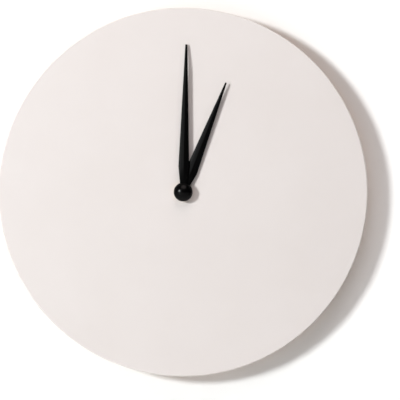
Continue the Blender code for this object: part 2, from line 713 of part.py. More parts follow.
def build_bridges():
    left = min(x for x, _ in BRIDGE_POSTS) - BRIDGE_MARGIN
    right = max(x for x, _ in BRIDGE_POSTS) + BRIDGE_MARGIN
    bottom = min(y for _, y in BRIDGE_POSTS) - BRIDGE_MARGIN
    top = max(y for _, y in BRIDGE_POSTS) + BRIDGE_MARGIN
    outlines = [rectangle(left, right, bottom, top, BRIDGE_MARGIN)]
    for at, radius in (
        (HANDS_AXIS, SECONDS_ARBOR_RADIUS),
        (THIRD_AXIS, TRAIN_ARBOR_RADIUS),
        (INTERMEDIATE_AXIS, TRAIN_ARBOR_RADIUS),
        (ROTOR_AXIS, ROTOR_ARBOR_RADIUS),
        (MOTION_AXIS, MOTION_ARBOR_RADIUS),
        *((post, PIN_RADIUS) for post in BRIDGE_POSTS),
    ):
        outlines.append(circle(radius + RUN_GAP, at, 12))
    train = add("train_bridge", flat_mesh("train_bridge", outlines, bridge_back, bridge_front), WHITE_PLASTIC)
    for at in MIDDLE_PILLARS:
        pillar = cylinder_mesh("pillar", pillar_radius, bridge_front - SINK, middle_back - REST_GAP, 12)
        join(train, "pillar", pillar, at)
        join(train, "pillar_pin", cylinder_mesh("pillar_pin", PIN_RADIUS, bridge_front - SINK, middle_front, 10), at)
    pillar_right = max(x for x, _ in MIDDLE_PILLARS)
    outline = rectangle(
        min(x for x, _ in MIDDLE_PILLARS) - BRIDGE_MARGIN,
        pillar_right + BRIDGE_MARGIN * 0.8,
        min(y for _, y in MIDDLE_PILLARS) - BRIDGE_MARGIN * 0.8,
        max(y for _, y in MIDDLE_PILLARS) + BRIDGE_MARGIN * 0.8,
        BRIDGE_MARGIN / 2,
    )
    holes = [
        circle(TRAIN_ARBOR_RADIUS + RUN_GAP, INTERMEDIATE_AXIS, 12),
        circle(ROTOR_ARBOR_RADIUS + RUN_GAP, ROTOR_AXIS, 12),
        *(circle(PIN_RADIUS + RUN_GAP, at, 12) for at in MIDDLE_PILLARS),
    ]
    add("middle_bridge", flat_mesh("middle_bridge", [outline, *holes], middle_back, middle_front), WHITE_PLASTIC)


# ---------------------------------------------------------------- stepping motor


def build_motor():
    bar_bottom = ROTOR_AXIS[1] - stator_hole - STATOR_RIM
    leg_inner = STATOR_HALF_WIDTH - STATOR_LEG
    leg_top = coil_height + CORE_WIDTH / 2
    outline = [
        (-STATOR_HALF_WIDTH, bar_bottom + STATOR_LEG / 2),
        (-leg_inner, bar_bottom),
        (leg_inner, bar_bottom),
        (STATOR_HALF_WIDTH, bar_bottom + STATOR_LEG / 2),
        (STATOR_HALF_WIDTH, leg_top),
        (leg_inner, leg_top),
        (leg_inner, stator_top),
        (-leg_inner, stator_top),
        (-leg_inner, leg_top),
        (-STATOR_HALF_WIDTH, leg_top),
    ]
    screw_at = STATOR_HALF_WIDTH - STATOR_LEG / 2
    screw_holes = [circle(SCREW_RADIUS + RUN_GAP, (side * screw_at, coil_height), 12) for side in (-1, 1)]
    stator_outlines = [outline, circle(stator_hole, ROTOR_AXIS, 24), *screw_holes]
    stator = flat_mesh("stator_plate", stator_outlines, stator_back, stator_back + STATOR_THICKNESS)
    add("stator_plate", stator, STEEL)
    core_outline = rectangle(
        -STATOR_HALF_WIDTH, STATOR_HALF_WIDTH, coil_height - CORE_WIDTH / 2, coil_height + CORE_WIDTH / 2
    )
    add("coil_core", flat_mesh("coil_core", [core_outline, *screw_holes], core_back, core_front), STEEL)
    build_coil(leg_inner - REST_GAP)
    for side, label in ((-1, "left"), (1, "right")):
        head_front = stator_back - REST_GAP
        section = [
            (0, arbor_front - REST_GAP),
            (SCREW_RADIUS, arbor_front - REST_GAP),
            (SCREW_RADIUS, head_front),
            (SCREW_HEAD_RADIUS, head_front),
            (SCREW_HEAD_RADIUS, head_front - SCREW_HEAD),
            (0, head_front - SCREW_HEAD),
        ]
        at = (side * screw_at, coil_height)
        smooth(turned("stator_screw_" + label, section, STEEL, at, closed=False, points=12))


def build_coil(half_length):
    """The bobbin and its winding, turned along X."""
    along_x = (0, math.pi / 2, 0)
    core_middle = (core_back + core_front) / 2
    bore_height = CORE_WIDTH + 2 * REST_GAP
    bore_depth = STATOR_THICKNESS + 2 * REST_GAP
    barrel = math.hypot(bore_height, bore_depth) / 2 + BOBBIN_WALL
    inner = half_length - BOBBIN_FLANGE
    flange = BOBBIN_FLANGE_RADIUS
    section = [
        (0, half_length),
        (flange, half_length),
        (flange, inner),
        (barrel, inner),
        (barrel, -inner),
        (flange, -inner),
        (flange, -half_length),
        (0, -half_length),
    ]
    bobbin = turned("coil_bobbin", section, WHITE_PLASTIC, (0, coil_height), False, 20, along_x)
    bobbin.location.z = core_middle
    bore = box_mesh(
        "core_bore",
        (-bore_depth / 2, -bore_height / 2, -half_length - CASE_WALL),
        (bore_depth / 2, bore_height / 2, half_length + CASE_WALL),
    )
    cut(bobbin, "core_bore", bore)
    wound = ring(barrel + REST_GAP, WINDING_RADIUS, -inner + REST_GAP, inner - REST_GAP)
    winding = turned("coil_winding", wound, COPPER, (0, coil_height), True, 20, along_x)
    winding.location.z = core_middle
    smooth(winding)


# ---------------------------------------------------------------- wheels


def toothed(piece, name, teeth, module, phase, back, front):
    """Joins a toothed section to a wheel."""
    join(piece, name, flat_mesh(name, [gear_outline(teeth, module, phase)], back, front))


def build_rotor():
    back = intermediate_back - LAYER_GAP / 2
    front = intermediate_back + WHEEL_THICKNESS + LAYER_GAP / 2
    pinion = flat_mesh("rotor_pinion", [gear_outline(ROTOR_TEETH, ROTOR_MODULE)], back, front)
    rotor = add("rotor_pinion", pinion, WHITE_PLASTIC, ROTOR_AXIS)
    arbor_end = magnet_back + MAGNET_THICKNESS + LAYER_GAP + PIVOT_LENGTH
    join(
        rotor,
        "rotor_arbor",
        cylinder_mesh("rotor_arbor", ROTOR_ARBOR_RADIUS, bridge_front - PIVOT_LENGTH, arbor_end, 12),
    )
    bore = ROTOR_ARBOR_RADIUS + RUN_GAP
    section = ring(bore, MAGNET_RADIUS, magnet_back, magnet_back + MAGNET_THICKNESS)
    smooth(turned("rotor_magnet", section, MAGNET, ROTOR_AXIS, points=20))


def build_intermediate_wheel():
    front = intermediate_back + WHEEL_THICKNESS
    outline = gear_outline(INTERMEDIATE_TEETH, ROTOR_MODULE, intermediate_phase)
    disc = flat_mesh("intermediate_wheel", [outline], intermediate_back, front)
    wheel = add("intermediate_wheel", disc, WHITE_PLASTIC, INTERMEDIATE_AXIS)
    pinion_front = seconds_back + WHEEL_THICKNESS + LAYER_GAP / 2
    toothed(
        wheel, "intermediate_pinion", INTERMEDIATE_PINION_TEETH, SECONDS_MODULE, 0, front - SINK, pinion_front
    )
    arbor = cylinder_mesh(
        "intermediate_arbor", TRAIN_ARBOR_RADIUS, bridge_front - PIVOT_LENGTH, middle_back + PIVOT_LENGTH, 12
    )
    join(wheel, "intermediate_arbor", arbor)


def build_seconds_wheel():
    front = seconds_back + WHEEL_THICKNESS
    outline = gear_outline(SECONDS_TEETH, SECONDS_MODULE, seconds_phase)
    wheel = add("seconds_wheel", flat_mesh("seconds_wheel", [outline], seconds_back, front), WHITE_PLASTIC)
    pinion_front = third_back + WHEEL_THICKNESS + LAYER_GAP / 2
    toothed(wheel, "seconds_pinion", SECONDS_PINION_TEETH, THIRD_MODULE, 0, front - SINK, pinion_front)
    arbor = cylinder_mesh(
        "seconds_arbor", SECONDS_ARBOR_RADIUS, bridge_front - PIVOT_LENGTH, minute_hand_back, 12
    )
    join(wheel, "seconds_arbor", arbor)


def build_third_wheel():
    front = third_back + WHEEL_THICKNESS
    outline = gear_outline(THIRD_TEETH, THIRD_MODULE, third_phase)
    disc = flat_mesh("third_wheel", [outline], third_back, front)
    wheel = add("third_wheel", disc, WHITE_PLASTIC, THIRD_AXIS)
    pinion_front = centre_back + WHEEL_THICKNESS + LAYER_GAP / 2
    toothed(wheel, "third_pinion", THIRD_PINION_TEETH, CENTRE_MODULE, 0, front - SINK, pinion_front)
    arbor = cylinder_mesh("third_arbor", TRAIN_ARBOR_RADIUS, bridge_front - PIVOT_LENGTH, arbor_front, 12)
    join(wheel, "third_arbor", arbor)


def build_centre_wheel():
    outline = gear_outline(CENTRE_TEETH, CENTRE_MODULE, centre_phase)
    bore = circle(minute_pipe_radius + RUN_GAP)
    disc = flat_mesh("centre_wheel", [outline, bore], centre_back, centre_back + WHEEL_THICKNESS)
    add("centre_wheel", disc, BRASS)


def build_minute_pipe():
    pinion = flat_mesh("minute_pipe", [gear_outline(CANNON_TEETH, CANNON_MODULE)], cannon_back, cannon_front)
    pipe = add("minute_pipe", pinion, BRASS)
    back = centre_back - LAYER_GAP / 2
    front = cap_back + CAP_BORE_DEPTH - REST_GAP
    join(pipe, "minute_tube", cylinder_mesh("minute_tube", minute_pipe_radius, back, front, 24))
    cut(pipe, "minute_bore", cylinder_mesh("minute_bore", minute_bore, back - SINK, front + SINK, 16))
    section = ring(
        minute_pipe_radius + RUN_GAP, minute_pipe_radius + 3 * PIPE_WALL, clutch_back, clutch_back + CLUTCH_THICKNESS
    )
    smooth(turned("clutch_spring", section, STEEL, points=24))


def build_motion_wheel():
    front = motion_back + WHEEL_THICKNESS
    outline = gear_outline(MOTION_TEETH, CANNON_MODULE, motion_phase)
    wheel = add("motion_wheel", flat_mesh("motion_wheel", [outline], motion_back, front), WHITE_PLASTIC, MOTION_AXIS)
    toothed(
        wheel, "motion_pinion", MOTION_PINION_TEETH, HOUR_MODULE, 0, front - SINK, hour_front + LAYER_GAP / 2
    )
    knob_front = KNOB_THICKNESS + REST_GAP
    arbor = cylinder_mesh("motion_arbor", MOTION_ARBOR_RADIUS, 2 * REST_GAP, arbor_front, 16)
    join(wheel, "motion_arbor", arbor)
    knob_outline = []
    for step in range(2 * KNOB_RIDGES):
        radius = KNOB_RADIUS - KNOB_RIDGE_DEPTH * (step % 2)
        knob_outline.append(away((0, 0), radius, math.pi * step / KNOB_RIDGES))
    bore = circle(MOTION_ARBOR_RADIUS + RUN_GAP, points=16)
    knob = flat_mesh("setting_knob", [knob_outline, bore], REST_GAP, knob_front)
    add("setting_knob", knob, WHITE_PLASTIC, MOTION_AXIS)


def build_hour_wheel():
    outline = gear_outline(HOUR_TEETH, HOUR_MODULE, hour_phase)
    wheel = add("hour_wheel", flat_mesh("hour_wheel", [outline], hour_back, hour_front), WHITE_PLASTIC)
    join(wheel, "hour_tube", cylinder_mesh("hour_tube", hour_pipe_radius, hour_back, collet_front, 24))
    cut(wheel, "hour_bore", cylinder_mesh("hour_bore", hour_bore, hour_back - SINK, collet_front + SINK, 24))


# ---------------------------------------------------------------- hands


def blade(length, half_width, widest_at, neck, tip, rise, bend_from, bend):
    """The front surface of a folded blade along +Y, as rows of left edge, ridge and right edge."""
    stations = 14
    inner = 3.0 * MM
    reach = [inner + (widest_at - inner) * i / 3 for i in range(3)]
    reach += [widest_at + (length - widest_at) * i / stations for i in range(stations + 1)]
    rows = []
    for at in reach:
        if at < widest_at:
            half = neck + (half_width - neck) * at / widest_at
        else:
            half = half_width + (tip - half_width) * (at - widest_at) / (length - widest_at)
        bent = max(0.0, at - bend_from) / (length - bend_from)
        ridge = rise * at / length - bend * bent**2
        opened = min(1.0, max(0.0, (at - FOLD_STARTS_AT) / (widest_at - FOLD_STARTS_AT)))
        edge = ridge - FOLD * half * opened
        rows.append([(-half, at, edge), (0, at, ridge), (half, at, edge)])
    return rows


def build_hand(name, rows, thickness, front, hub_radius, bore, turn):
    """A folded blade with a flat round hub, bored for its pipe."""
    mesh = bpy.data.meshes.new(name)
    shape = bmesh.new()
    placed = [[shape.verts.new(point) for point in row] for row in rows]
    for near, far in zip(placed, placed[1:]):
        for side in (0, 1):
            shape.faces.new((near[side], near[side + 1], far[side + 1], far[side]))
    bmesh.ops.recalc_face_normals(shape, faces=shape.faces)
    if sum(face.normal.z for face in shape.faces) < 0:
        bmesh.ops.reverse_faces(shape, faces=shape.faces)
    shape.to_mesh(mesh)
    shape.free()
    hand = add(name, mesh, BLACK_LACQUER, depth=front, turn=-turn)
    sheet = hand.modifiers.new("sheet", "SOLIDIFY")
    sheet.thickness = thickness
    sheet.offset = -1
    hub = cylinder_mesh(name + "_hub", hub_radius, -thickness - HUB_EXTRA, HUB_EXTRA, 32)
    join(hand, name + "_hub", hub)
    cut(hand, name + "_bore", cylinder_mesh(name + "_bore", bore, -5 * thickness, 5 * thickness, 24))


def build_hands():
    hour_rows = blade(
        HOUR_LENGTH, HOUR_HALF_WIDTH, HOUR_WIDEST_AT, HOUR_NECK, HOUR_TIP, HOUR_RISE, HOUR_LENGTH / 2, 0
    )
    hub_bore = collet_radius + RUN_GAP
    build_hand("hour_hand", hour_rows, HOUR_THICKNESS, hour_hand_front, HOUR_HUB_RADIUS, hub_bore, HOUR_ANGLE)
    collet_section = [
        (COLLET_FLANGE_RADIUS, collet_front),
        (COLLET_FLANGE_RADIUS, collet_front - COLLET_FLANGE),
        (collet_radius, collet_front - COLLET_FLANGE),
        (collet_radius, hour_hand_back),
        (collet_bore, hour_hand_back),
        (collet_bore, collet_front),
    ]
    smooth(turned("hour_collet", collet_section, BRASS, points=24))
    minute_rows = blade(
        MINUTE_LENGTH,
        MINUTE_HALF_WIDTH,
        MINUTE_WIDEST_AT,
        MINUTE_NECK,
        MINUTE_TIP,
        0,
        HOUR_LENGTH - MINUTE_BEND_MARGIN,
        MINUTE_DROP,
    )
    bore = minute_pipe_radius + RUN_GAP
    build_hand(
        "minute_hand", minute_rows, MINUTE_THICKNESS, minute_hand_front, MINUTE_HUB_RADIUS, bore, MINUTE_ANGLE
    )
    build_cap()


def build_cap():
    dome = CAP_CURVE * CAP_RADIUS
    centre = cap_back + CAP_RIM - math.sqrt(dome**2 - CAP_RADIUS**2)
    widest = math.asin(CAP_RADIUS / dome)
    steps = 8
    bore = minute_pipe_radius + RUN_GAP
    section = []
    for step in range(steps + 1):
        angle = widest * step / steps
        section.append((dome * math.sin(angle), centre + dome * math.cos(angle)))
    section += [
        (CAP_RADIUS, cap_back),
        (bore, cap_back),
        (bore, cap_back + CAP_BORE_DEPTH),
        (0, cap_back + CAP_BORE_DEPTH),
    ]
    smooth(turned("hand_cap", section, BLACK_GLOSS, closed=False, points=40))


# ---------------------------------------------------------------- battery, contacts and circuit


def build_battery():
    along_x = (0, math.pi / 2, 0)
    positive_end = inner_half - contact_room
    shoulder = positive_end - BATTERY_NUB_LENGTH
    negative_end = shoulder - BATTERY_BODY_LENGTH
    section = [
        (0, positive_end),
        (BATTERY_NUB_RADIUS, positive_end),
        (BATTERY_NUB_RADIUS, shoulder),
        (battery_radius, shoulder),
        (battery_radius, negative_end),
        (0, negative_end),
    ]
    battery = turned("battery", section, BATTERY_JACKET, (0, battery_height), False, 32, along_x)
    battery.location.z = battery_depth
    smooth(battery)
    for side, name in ((1, "positive_contact"), (-1, "negative_contact")):
        build_contact(name, side)
    spring_start = contact_room - inner_half + SPRING_WIRE / 2
    spring_end = negative_end - REST_GAP - SPRING_WIRE / 2
    build_spring(spring_start, spring_end)


def build_contact(name, side):
    """A flat contact standing at one end of the bay, with a tongue that reaches up to the circuit board."""
    low = (-CONTACT_HEIGHT / 2, -CONTACT_WIDTH / 2)
    high = (CONTACT_HEIGHT / 2, CONTACT_WIDTH / 2)
    tongue_top = circuit_top + REST_GAP - battery_height
    half = TONGUE_WIDTH / 2
    outline = [
        (low[0], low[1]),
        (high[0], low[1]),
        (high[0], -half),
        (tongue_top, -half),
        (tongue_top, half),
        (high[0], half),
        (high[0], high[1]),
        (low[0], high[1]),
    ]
    mesh = flat_mesh(name, [outline], 0, CONTACT_THICKNESS)
    contact = add(name, mesh, STEEL, (side * (inner_half - REST_GAP), battery_height), battery_depth)
    start = -CONTACT_THICKNESS if side > 0 else 0
    contact.location.x += start
    contact.rotation_euler = (math.pi / 2, 0, math.pi / 2)


def build_spring(start, end):
    """The conical spring behind the battery's flat end."""
    wire = bpy.data.curves.new("negative_spring", "CURVE")
    wire.dimensions = "3D"
    wire.bevel_depth = SPRING_WIRE / 2
    wire.bevel_resolution = 2
    wire.use_fill_caps = True
    spline = wire.splines.new("POLY")
    count = 12 * SPRING_TURNS
    spline.points.add(count)
    for step, point in enumerate(spline.points):
        share = step / count
        radius = SPRING_WIDE + (SPRING_NARROW - SPRING_WIDE) * share
        angle = 2 * math.pi * SPRING_TURNS * share
        point.co = (start + (end - start) * share, radius * math.cos(angle), radius * math.sin(angle), 1)
    add("negative_spring", wire, STEEL, (0, battery_height), battery_depth)


def build_circuit():
    half = inner_half - contact_room
    back = bridge_front + REST_GAP
    board = box_mesh("circuit_board", (-half, circuit_bottom, back), (half, circuit_top, flange_back))
    add("circuit_board", board, GREEN_LAMINATE)
    middle = (back + flange_back) / 2
    crystal_at = (half - CIRCUIT_END - CRYSTAL_RADIUS, circuit_top + REST_GAP + CRYSTAL_RADIUS)
    front = middle + CRYSTAL_LENGTH / 2
    can = [(0, front), (CRYSTAL_RADIUS, front), (CRYSTAL_RADIUS, front - CRYSTAL_LENGTH), (0, front - CRYSTAL_LENGTH)]
    smooth(turned("quartz_crystal", can, STEEL, crystal_at, False, 16))
    steps = 4
    dome = []
    for step in range(steps + 1):
        angle = math.pi / 2 * step / steps
        dome.append((CHIP_RADIUS * math.sin(angle), CHIP_HEIGHT * math.cos(angle)))
    dome.append((0, 0))
    chip_at = (CIRCUIT_END / 2 + CHIP_RADIUS - half, circuit_top + REST_GAP)
    chip = turned("ic_chip", dome, BLACK_PLASTIC, chip_at, False, 16, (-math.pi / 2, 0, 0))
    chip.location.z = middle
    smooth(chip)


build_board()
build_fixing()
build_front_case()
build_rear_cover()
build_hanger()
build_bridges()
build_motor()
build_rotor()
build_intermediate_wheel()
build_seconds_wheel()
build_third_wheel()
build_centre_wheel()
build_minute_pipe()
build_motion_wheel()
build_hour_wheel()
build_hands()
build_battery()
build_circuit()
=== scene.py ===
"""The wall clock's looks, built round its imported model, with a plain studio, lights and a camera."""

import json
import math

import bmesh
import bpy
from mathutils import Matrix, Vector


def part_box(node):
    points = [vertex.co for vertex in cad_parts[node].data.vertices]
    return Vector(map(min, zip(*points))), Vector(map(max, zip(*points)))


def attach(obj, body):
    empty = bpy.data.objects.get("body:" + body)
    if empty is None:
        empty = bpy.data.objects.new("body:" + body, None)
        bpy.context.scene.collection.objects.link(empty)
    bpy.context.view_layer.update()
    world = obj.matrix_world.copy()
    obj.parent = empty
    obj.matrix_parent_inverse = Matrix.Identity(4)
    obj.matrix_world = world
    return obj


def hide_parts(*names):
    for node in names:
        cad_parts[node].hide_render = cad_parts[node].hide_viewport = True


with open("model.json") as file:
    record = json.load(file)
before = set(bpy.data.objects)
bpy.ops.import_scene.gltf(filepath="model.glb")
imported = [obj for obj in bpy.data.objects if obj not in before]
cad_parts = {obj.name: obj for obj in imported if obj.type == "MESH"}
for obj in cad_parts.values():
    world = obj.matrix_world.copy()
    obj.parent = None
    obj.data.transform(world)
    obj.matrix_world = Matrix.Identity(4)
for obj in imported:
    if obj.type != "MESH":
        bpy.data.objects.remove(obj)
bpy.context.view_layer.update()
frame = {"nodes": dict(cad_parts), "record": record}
MM = 0.001

# ---------------------------------------------------------------- sizes read from the frame


def depths(node):
    """How far in front of the wall a node's back and front stand."""
    low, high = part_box(node)
    return -high[1], -low[1]


def radius_of(node):
    """The radius of a round node that stands on its own axis."""
    low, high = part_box(node)
    return (high[0] - low[0]) / 2


board_back, board_front = depths("dial_board")
board_radius = radius_of("dial_board")
nut_back, nut_front = depths("hex_nut")
brass_back, brass_front = depths("brass_washer")
cap_back = depths("hand_cap")[0]
cap_radius = radius_of("hand_cap")
collet_back, collet_front = depths("hour_collet")
rubber_back, rubber_front = depths("rubber_washer")
bushing_back, bushing_front = depths("threaded_bushing")
knob_back, knob_front = depths("setting_knob")
# The cover's box takes in its snap lugs, so cover_front is the depth of their tips (4.4 mm) and not of the plate's
# front (1.4 mm). build_cover draws the plate up to it, 3 mm too thick, through the arbors behind it.
cover_back, cover_front = depths("rear_cover")
case_back, case_front = depths("front_case")
cover_low, cover_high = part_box("rear_cover")
case_low, case_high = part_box("front_case")
hanger_low, hanger_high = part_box("hanger_loop")
battery_low, battery_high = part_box("battery")
spring_low, spring_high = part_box("negative_spring")
case_half = case_high[0]
case_bottom, case_top = case_low[2], cover_high[2]
knob_low, knob_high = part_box("setting_knob")
knob_at = ((knob_low[0] + knob_high[0]) / 2, (knob_low[2] + knob_high[2]) / 2)
knob_radius = (knob_high[0] - knob_low[0]) / 2
battery_radius = (battery_high[2] - battery_low[2]) / 2
battery_at = ((battery_low[2] + battery_high[2]) / 2, -(battery_low[1] + battery_high[1]) / 2)

# ---------------------------------------------------------------- sizes of the fine pieces
BOARD_EDGE_RADIUS = 0.8 * MM
BOARD_BACK_CHAMFER = 0.3 * MM
BOARD_HOLE = 4.3 * MM
HOUR = {
    "length": 79.5 * MM,
    "half_width": 4.2 * MM,
    "widest_at": 14.3 * MM,
    "neck": 1.6 * MM,
    "tip": 0.55 * MM,
    "thickness": 0.35 * MM,
    "rise": 0.45 * MM,
    "bend_from": 40.0 * MM,
    "bend": 0.0,
    "hub": 4.6 * MM,
    "bore": 3.25 * MM,
    "angle": math.radians(21.4),
}
MINUTE = {
    "length": 100.0 * MM,
    "half_width": 3.63 * MM,
    "widest_at": 17.4 * MM,
    "neck": 1.6 * MM,
    "tip": 0.72 * MM,
    "thickness": 0.3 * MM,
    "rise": 0.0,
    "bend_from": 75.0 * MM,
    "bend": 2.4 * MM,
    "hub": 4.4 * MM,
    "bore": 1.55 * MM,
    "angle": math.radians(1.25),
}
HUB_EXTRA = 0.05 * MM
FOLD = 0.20
FOLD_STARTS_AT = 7.0 * MM
CREASE = 0.10 * MM  # roundness of the fold along a hand
BLADE_EDGE = 0.07 * MM  # rounding along a hand's edges
CAP_RIM = 0.5 * MM
CAP_CURVE = 1.18
CAP_RIM_FILLET = 0.15 * MM
CASE_CORNER = 3.0 * MM
LUG_WIDTH = 5.0 * MM
LUG_HEIGHTS = (0.0, 15.5 * MM)
LUG_OUTER = 1.6 * MM  # how far inside the case's side a snap lug starts
LUG_INNER = 2.8 * MM  # how far inside the case's side a snap lug ends
LUG_ROOT = 0.2 * MM
LUG_REACH = 3.0 * MM
WINDOW_DEPTHS = (3.0 * MM, 4.3 * MM)  # of the windows in the case's sides
WINDOW_SHOULDER = 0.5 * MM
RAIL_HALF = 3.0 * MM
RAIL_FRONT = 8.9 * MM
RAIL_EDGE = 0.3 * MM
OVERSPRAY = (0.0115, 0.0165)  # where the paint dust starts and is full, past the rim and with its noise added
PAINT_REACHES = (0.25 * MM, 0.35 * MM)  # how far in front of the board's back the paint fades in
SENSOR_WIDTH = 36
hour_hand_front = collet_front - 0.35 * MM - 0.2 * MM
minute_hand_front = cap_back - 0.3 * MM

# ---------------------------------------------------------------- procedural materials


class Nodes:
    """A short way to add and link a material's nodes."""

    def __init__(self, tree):
        self.tree = tree

    def add(self, kind, inputs=None, **settings):
        node = self.tree.nodes.new(kind)
        for name, value in settings.items():
            setattr(node, name, value)
        for name, value in (inputs or {}).items():
            if isinstance(value, bpy.types.NodeSocket):
                self.tree.links.new(value, node.inputs[name])
            else:
                node.inputs[name].default_value = value
        return node


def shader_of(name):
    """A new material, its nodes, its Principled BSDF and its place coordinates."""
    made = bpy.data.materials.new(name)
    made.use_nodes = True
    nodes = Nodes(made.node_tree)
    shader = made.node_tree.nodes["Principled BSDF"]
    place = nodes.add("ShaderNodeTexCoord").outputs["Object"]
    return made, nodes, shader, place


def noise(nodes, place, scale, detail=3.0, roughness=0.55):
    """Noise whose features repeat about so many times a metre."""
    made = nodes.add(
        "ShaderNodeTexNoise", {"Vector": place, "Scale": scale, "Detail": detail, "Roughness": roughness}
    )
    return made.outputs["Fac"]


def spread(nodes, value, low, high):
    """Stretches noise, most of which lies near the middle, over a range."""
    made = nodes.add(
        "ShaderNodeMapRange", {"Value": value, "From Min": 0.3, "From Max": 0.7, "To Min": low, "To Max": high}
    )
    return made.outputs["Result"]


def blend_colours(nodes, share, first, second):
    """Two colours mixed by a share, each a value or another node's output."""
    made = nodes.add("ShaderNodeMix", data_type="RGBA")
    for socket, value in ((made.inputs[0], share), (made.inputs[6], first), (made.inputs[7], second)):
        if isinstance(value, bpy.types.NodeSocket):
            nodes.tree.links.new(value, socket)
        else:
            socket.default_value = value
    return made.outputs[2]


def rough_surface(name, colour, other, roughness, metallic=0.0, grain=900, fine=5000, bump=0.02, specular=0.5):
    """A surface whose colour, gloss and height all vary a little, from a coarse and a fine noise."""
    made, nodes, shader, place = shader_of(name)
    coarse = noise(nodes, place, grain)
    close = noise(nodes, place, fine)
    link = nodes.tree.links.new
    link(blend_colours(nodes, spread(nodes, coarse, 0, 1), (*colour, 1), (*other, 1)), shader.inputs["Base Color"])
    link(spread(nodes, coarse, roughness[0], roughness[1]), shader.inputs["Roughness"])
    shader.inputs["Metallic"].default_value = metallic
    shader.inputs["Specular IOR Level"].default_value = specular
    relief = nodes.add("ShaderNodeBump", {"Height": close, "Strength": 1.0, "Distance": bump * MM})
    link(relief.outputs["Normal"], shader.inputs["Normal"])
    return made


def board_material():
    """Satin paint on the front and the edge, and bare fibreboard behind, with paint dust round its rim."""
    made, nodes, shader, place = shader_of("board_paint_and_fibreboard")
    link = nodes.tree.links.new
    apart = nodes.add("ShaderNodeSeparateXYZ", {"Vector": place})
    flat = nodes.add("ShaderNodeCombineXYZ", {"X": apart.outputs["X"], "Y": apart.outputs["Z"]})
    reach = nodes.add("ShaderNodeVectorMath", {0: flat.outputs[0]}, operation="LENGTH").outputs["Value"]
    dust = noise(nodes, place, 700, 5, 0.7)
    ragged = nodes.add("ShaderNodeMath", {0: dust, 1: 0.03, 2: reach}, operation="MULTIPLY_ADD").outputs[0]
    rim = nodes.add(
        "ShaderNodeMapRange",
        {"Value": ragged, "From Min": board_radius + OVERSPRAY[0], "From Max": board_radius + OVERSPRAY[1]},
    ).outputs["Result"]
    front = nodes.add(
        "ShaderNodeMapRange",
        {
            "Value": apart.outputs["Y"],
            "From Min": -board_back - PAINT_REACHES[1],
            "From Max": -board_back - PAINT_REACHES[0],
            "To Min": 1.0,
            "To Max": 0.0,
        },
    ).outputs["Result"]
    painted = nodes.add("ShaderNodeMath", {0: rim, 1: front}, operation="MAXIMUM").outputs[0]
    cloud = spread(nodes, noise(nodes, place, 22, 3), 0, 1)
    paint = blend_colours(nodes, cloud, (0.700, 0.655, 0.640, 1), (0.715, 0.672, 0.660, 1))
    fibre = spread(nodes, noise(nodes, place, 1400, 6, 0.75), 0, 1)
    patch = spread(nodes, noise(nodes, place, 45, 4, 0.6), 0, 1)
    bare = blend_colours(nodes, fibre, (0.30, 0.185, 0.105, 1), (0.47, 0.33, 0.205, 1))
    bare = blend_colours(nodes, patch, bare, (0.38, 0.25, 0.15, 1))
    link(blend_colours(nodes, painted, bare, paint), shader.inputs["Base Color"])
    gloss = nodes.add("ShaderNodeMapRange", {"Value": painted, "To Min": 0.85, "To Max": 0.46}).outputs["Result"]
    link(gloss, shader.inputs["Roughness"])
    peel = nodes.add(
        "ShaderNodeBump", {"Height": noise(nodes, place, 500, 2), "Strength": 0.35, "Distance": 0.01 * MM}
    )
    grain = nodes.add(
        "ShaderNodeBump",
        {"Height": fibre, "Strength": 0.5, "Distance": 0.03 * MM, "Normal": peel.outputs["Normal"]},
    )
    mixed = nodes.add("ShaderNodeMix", data_type="VECTOR")
    link(painted, mixed.inputs[0])
    link(grain.outputs["Normal"], mixed.inputs[4])
    link(peel.outputs["Normal"], mixed.inputs[5])
    link(mixed.outputs[1], shader.inputs["Normal"])
    return made


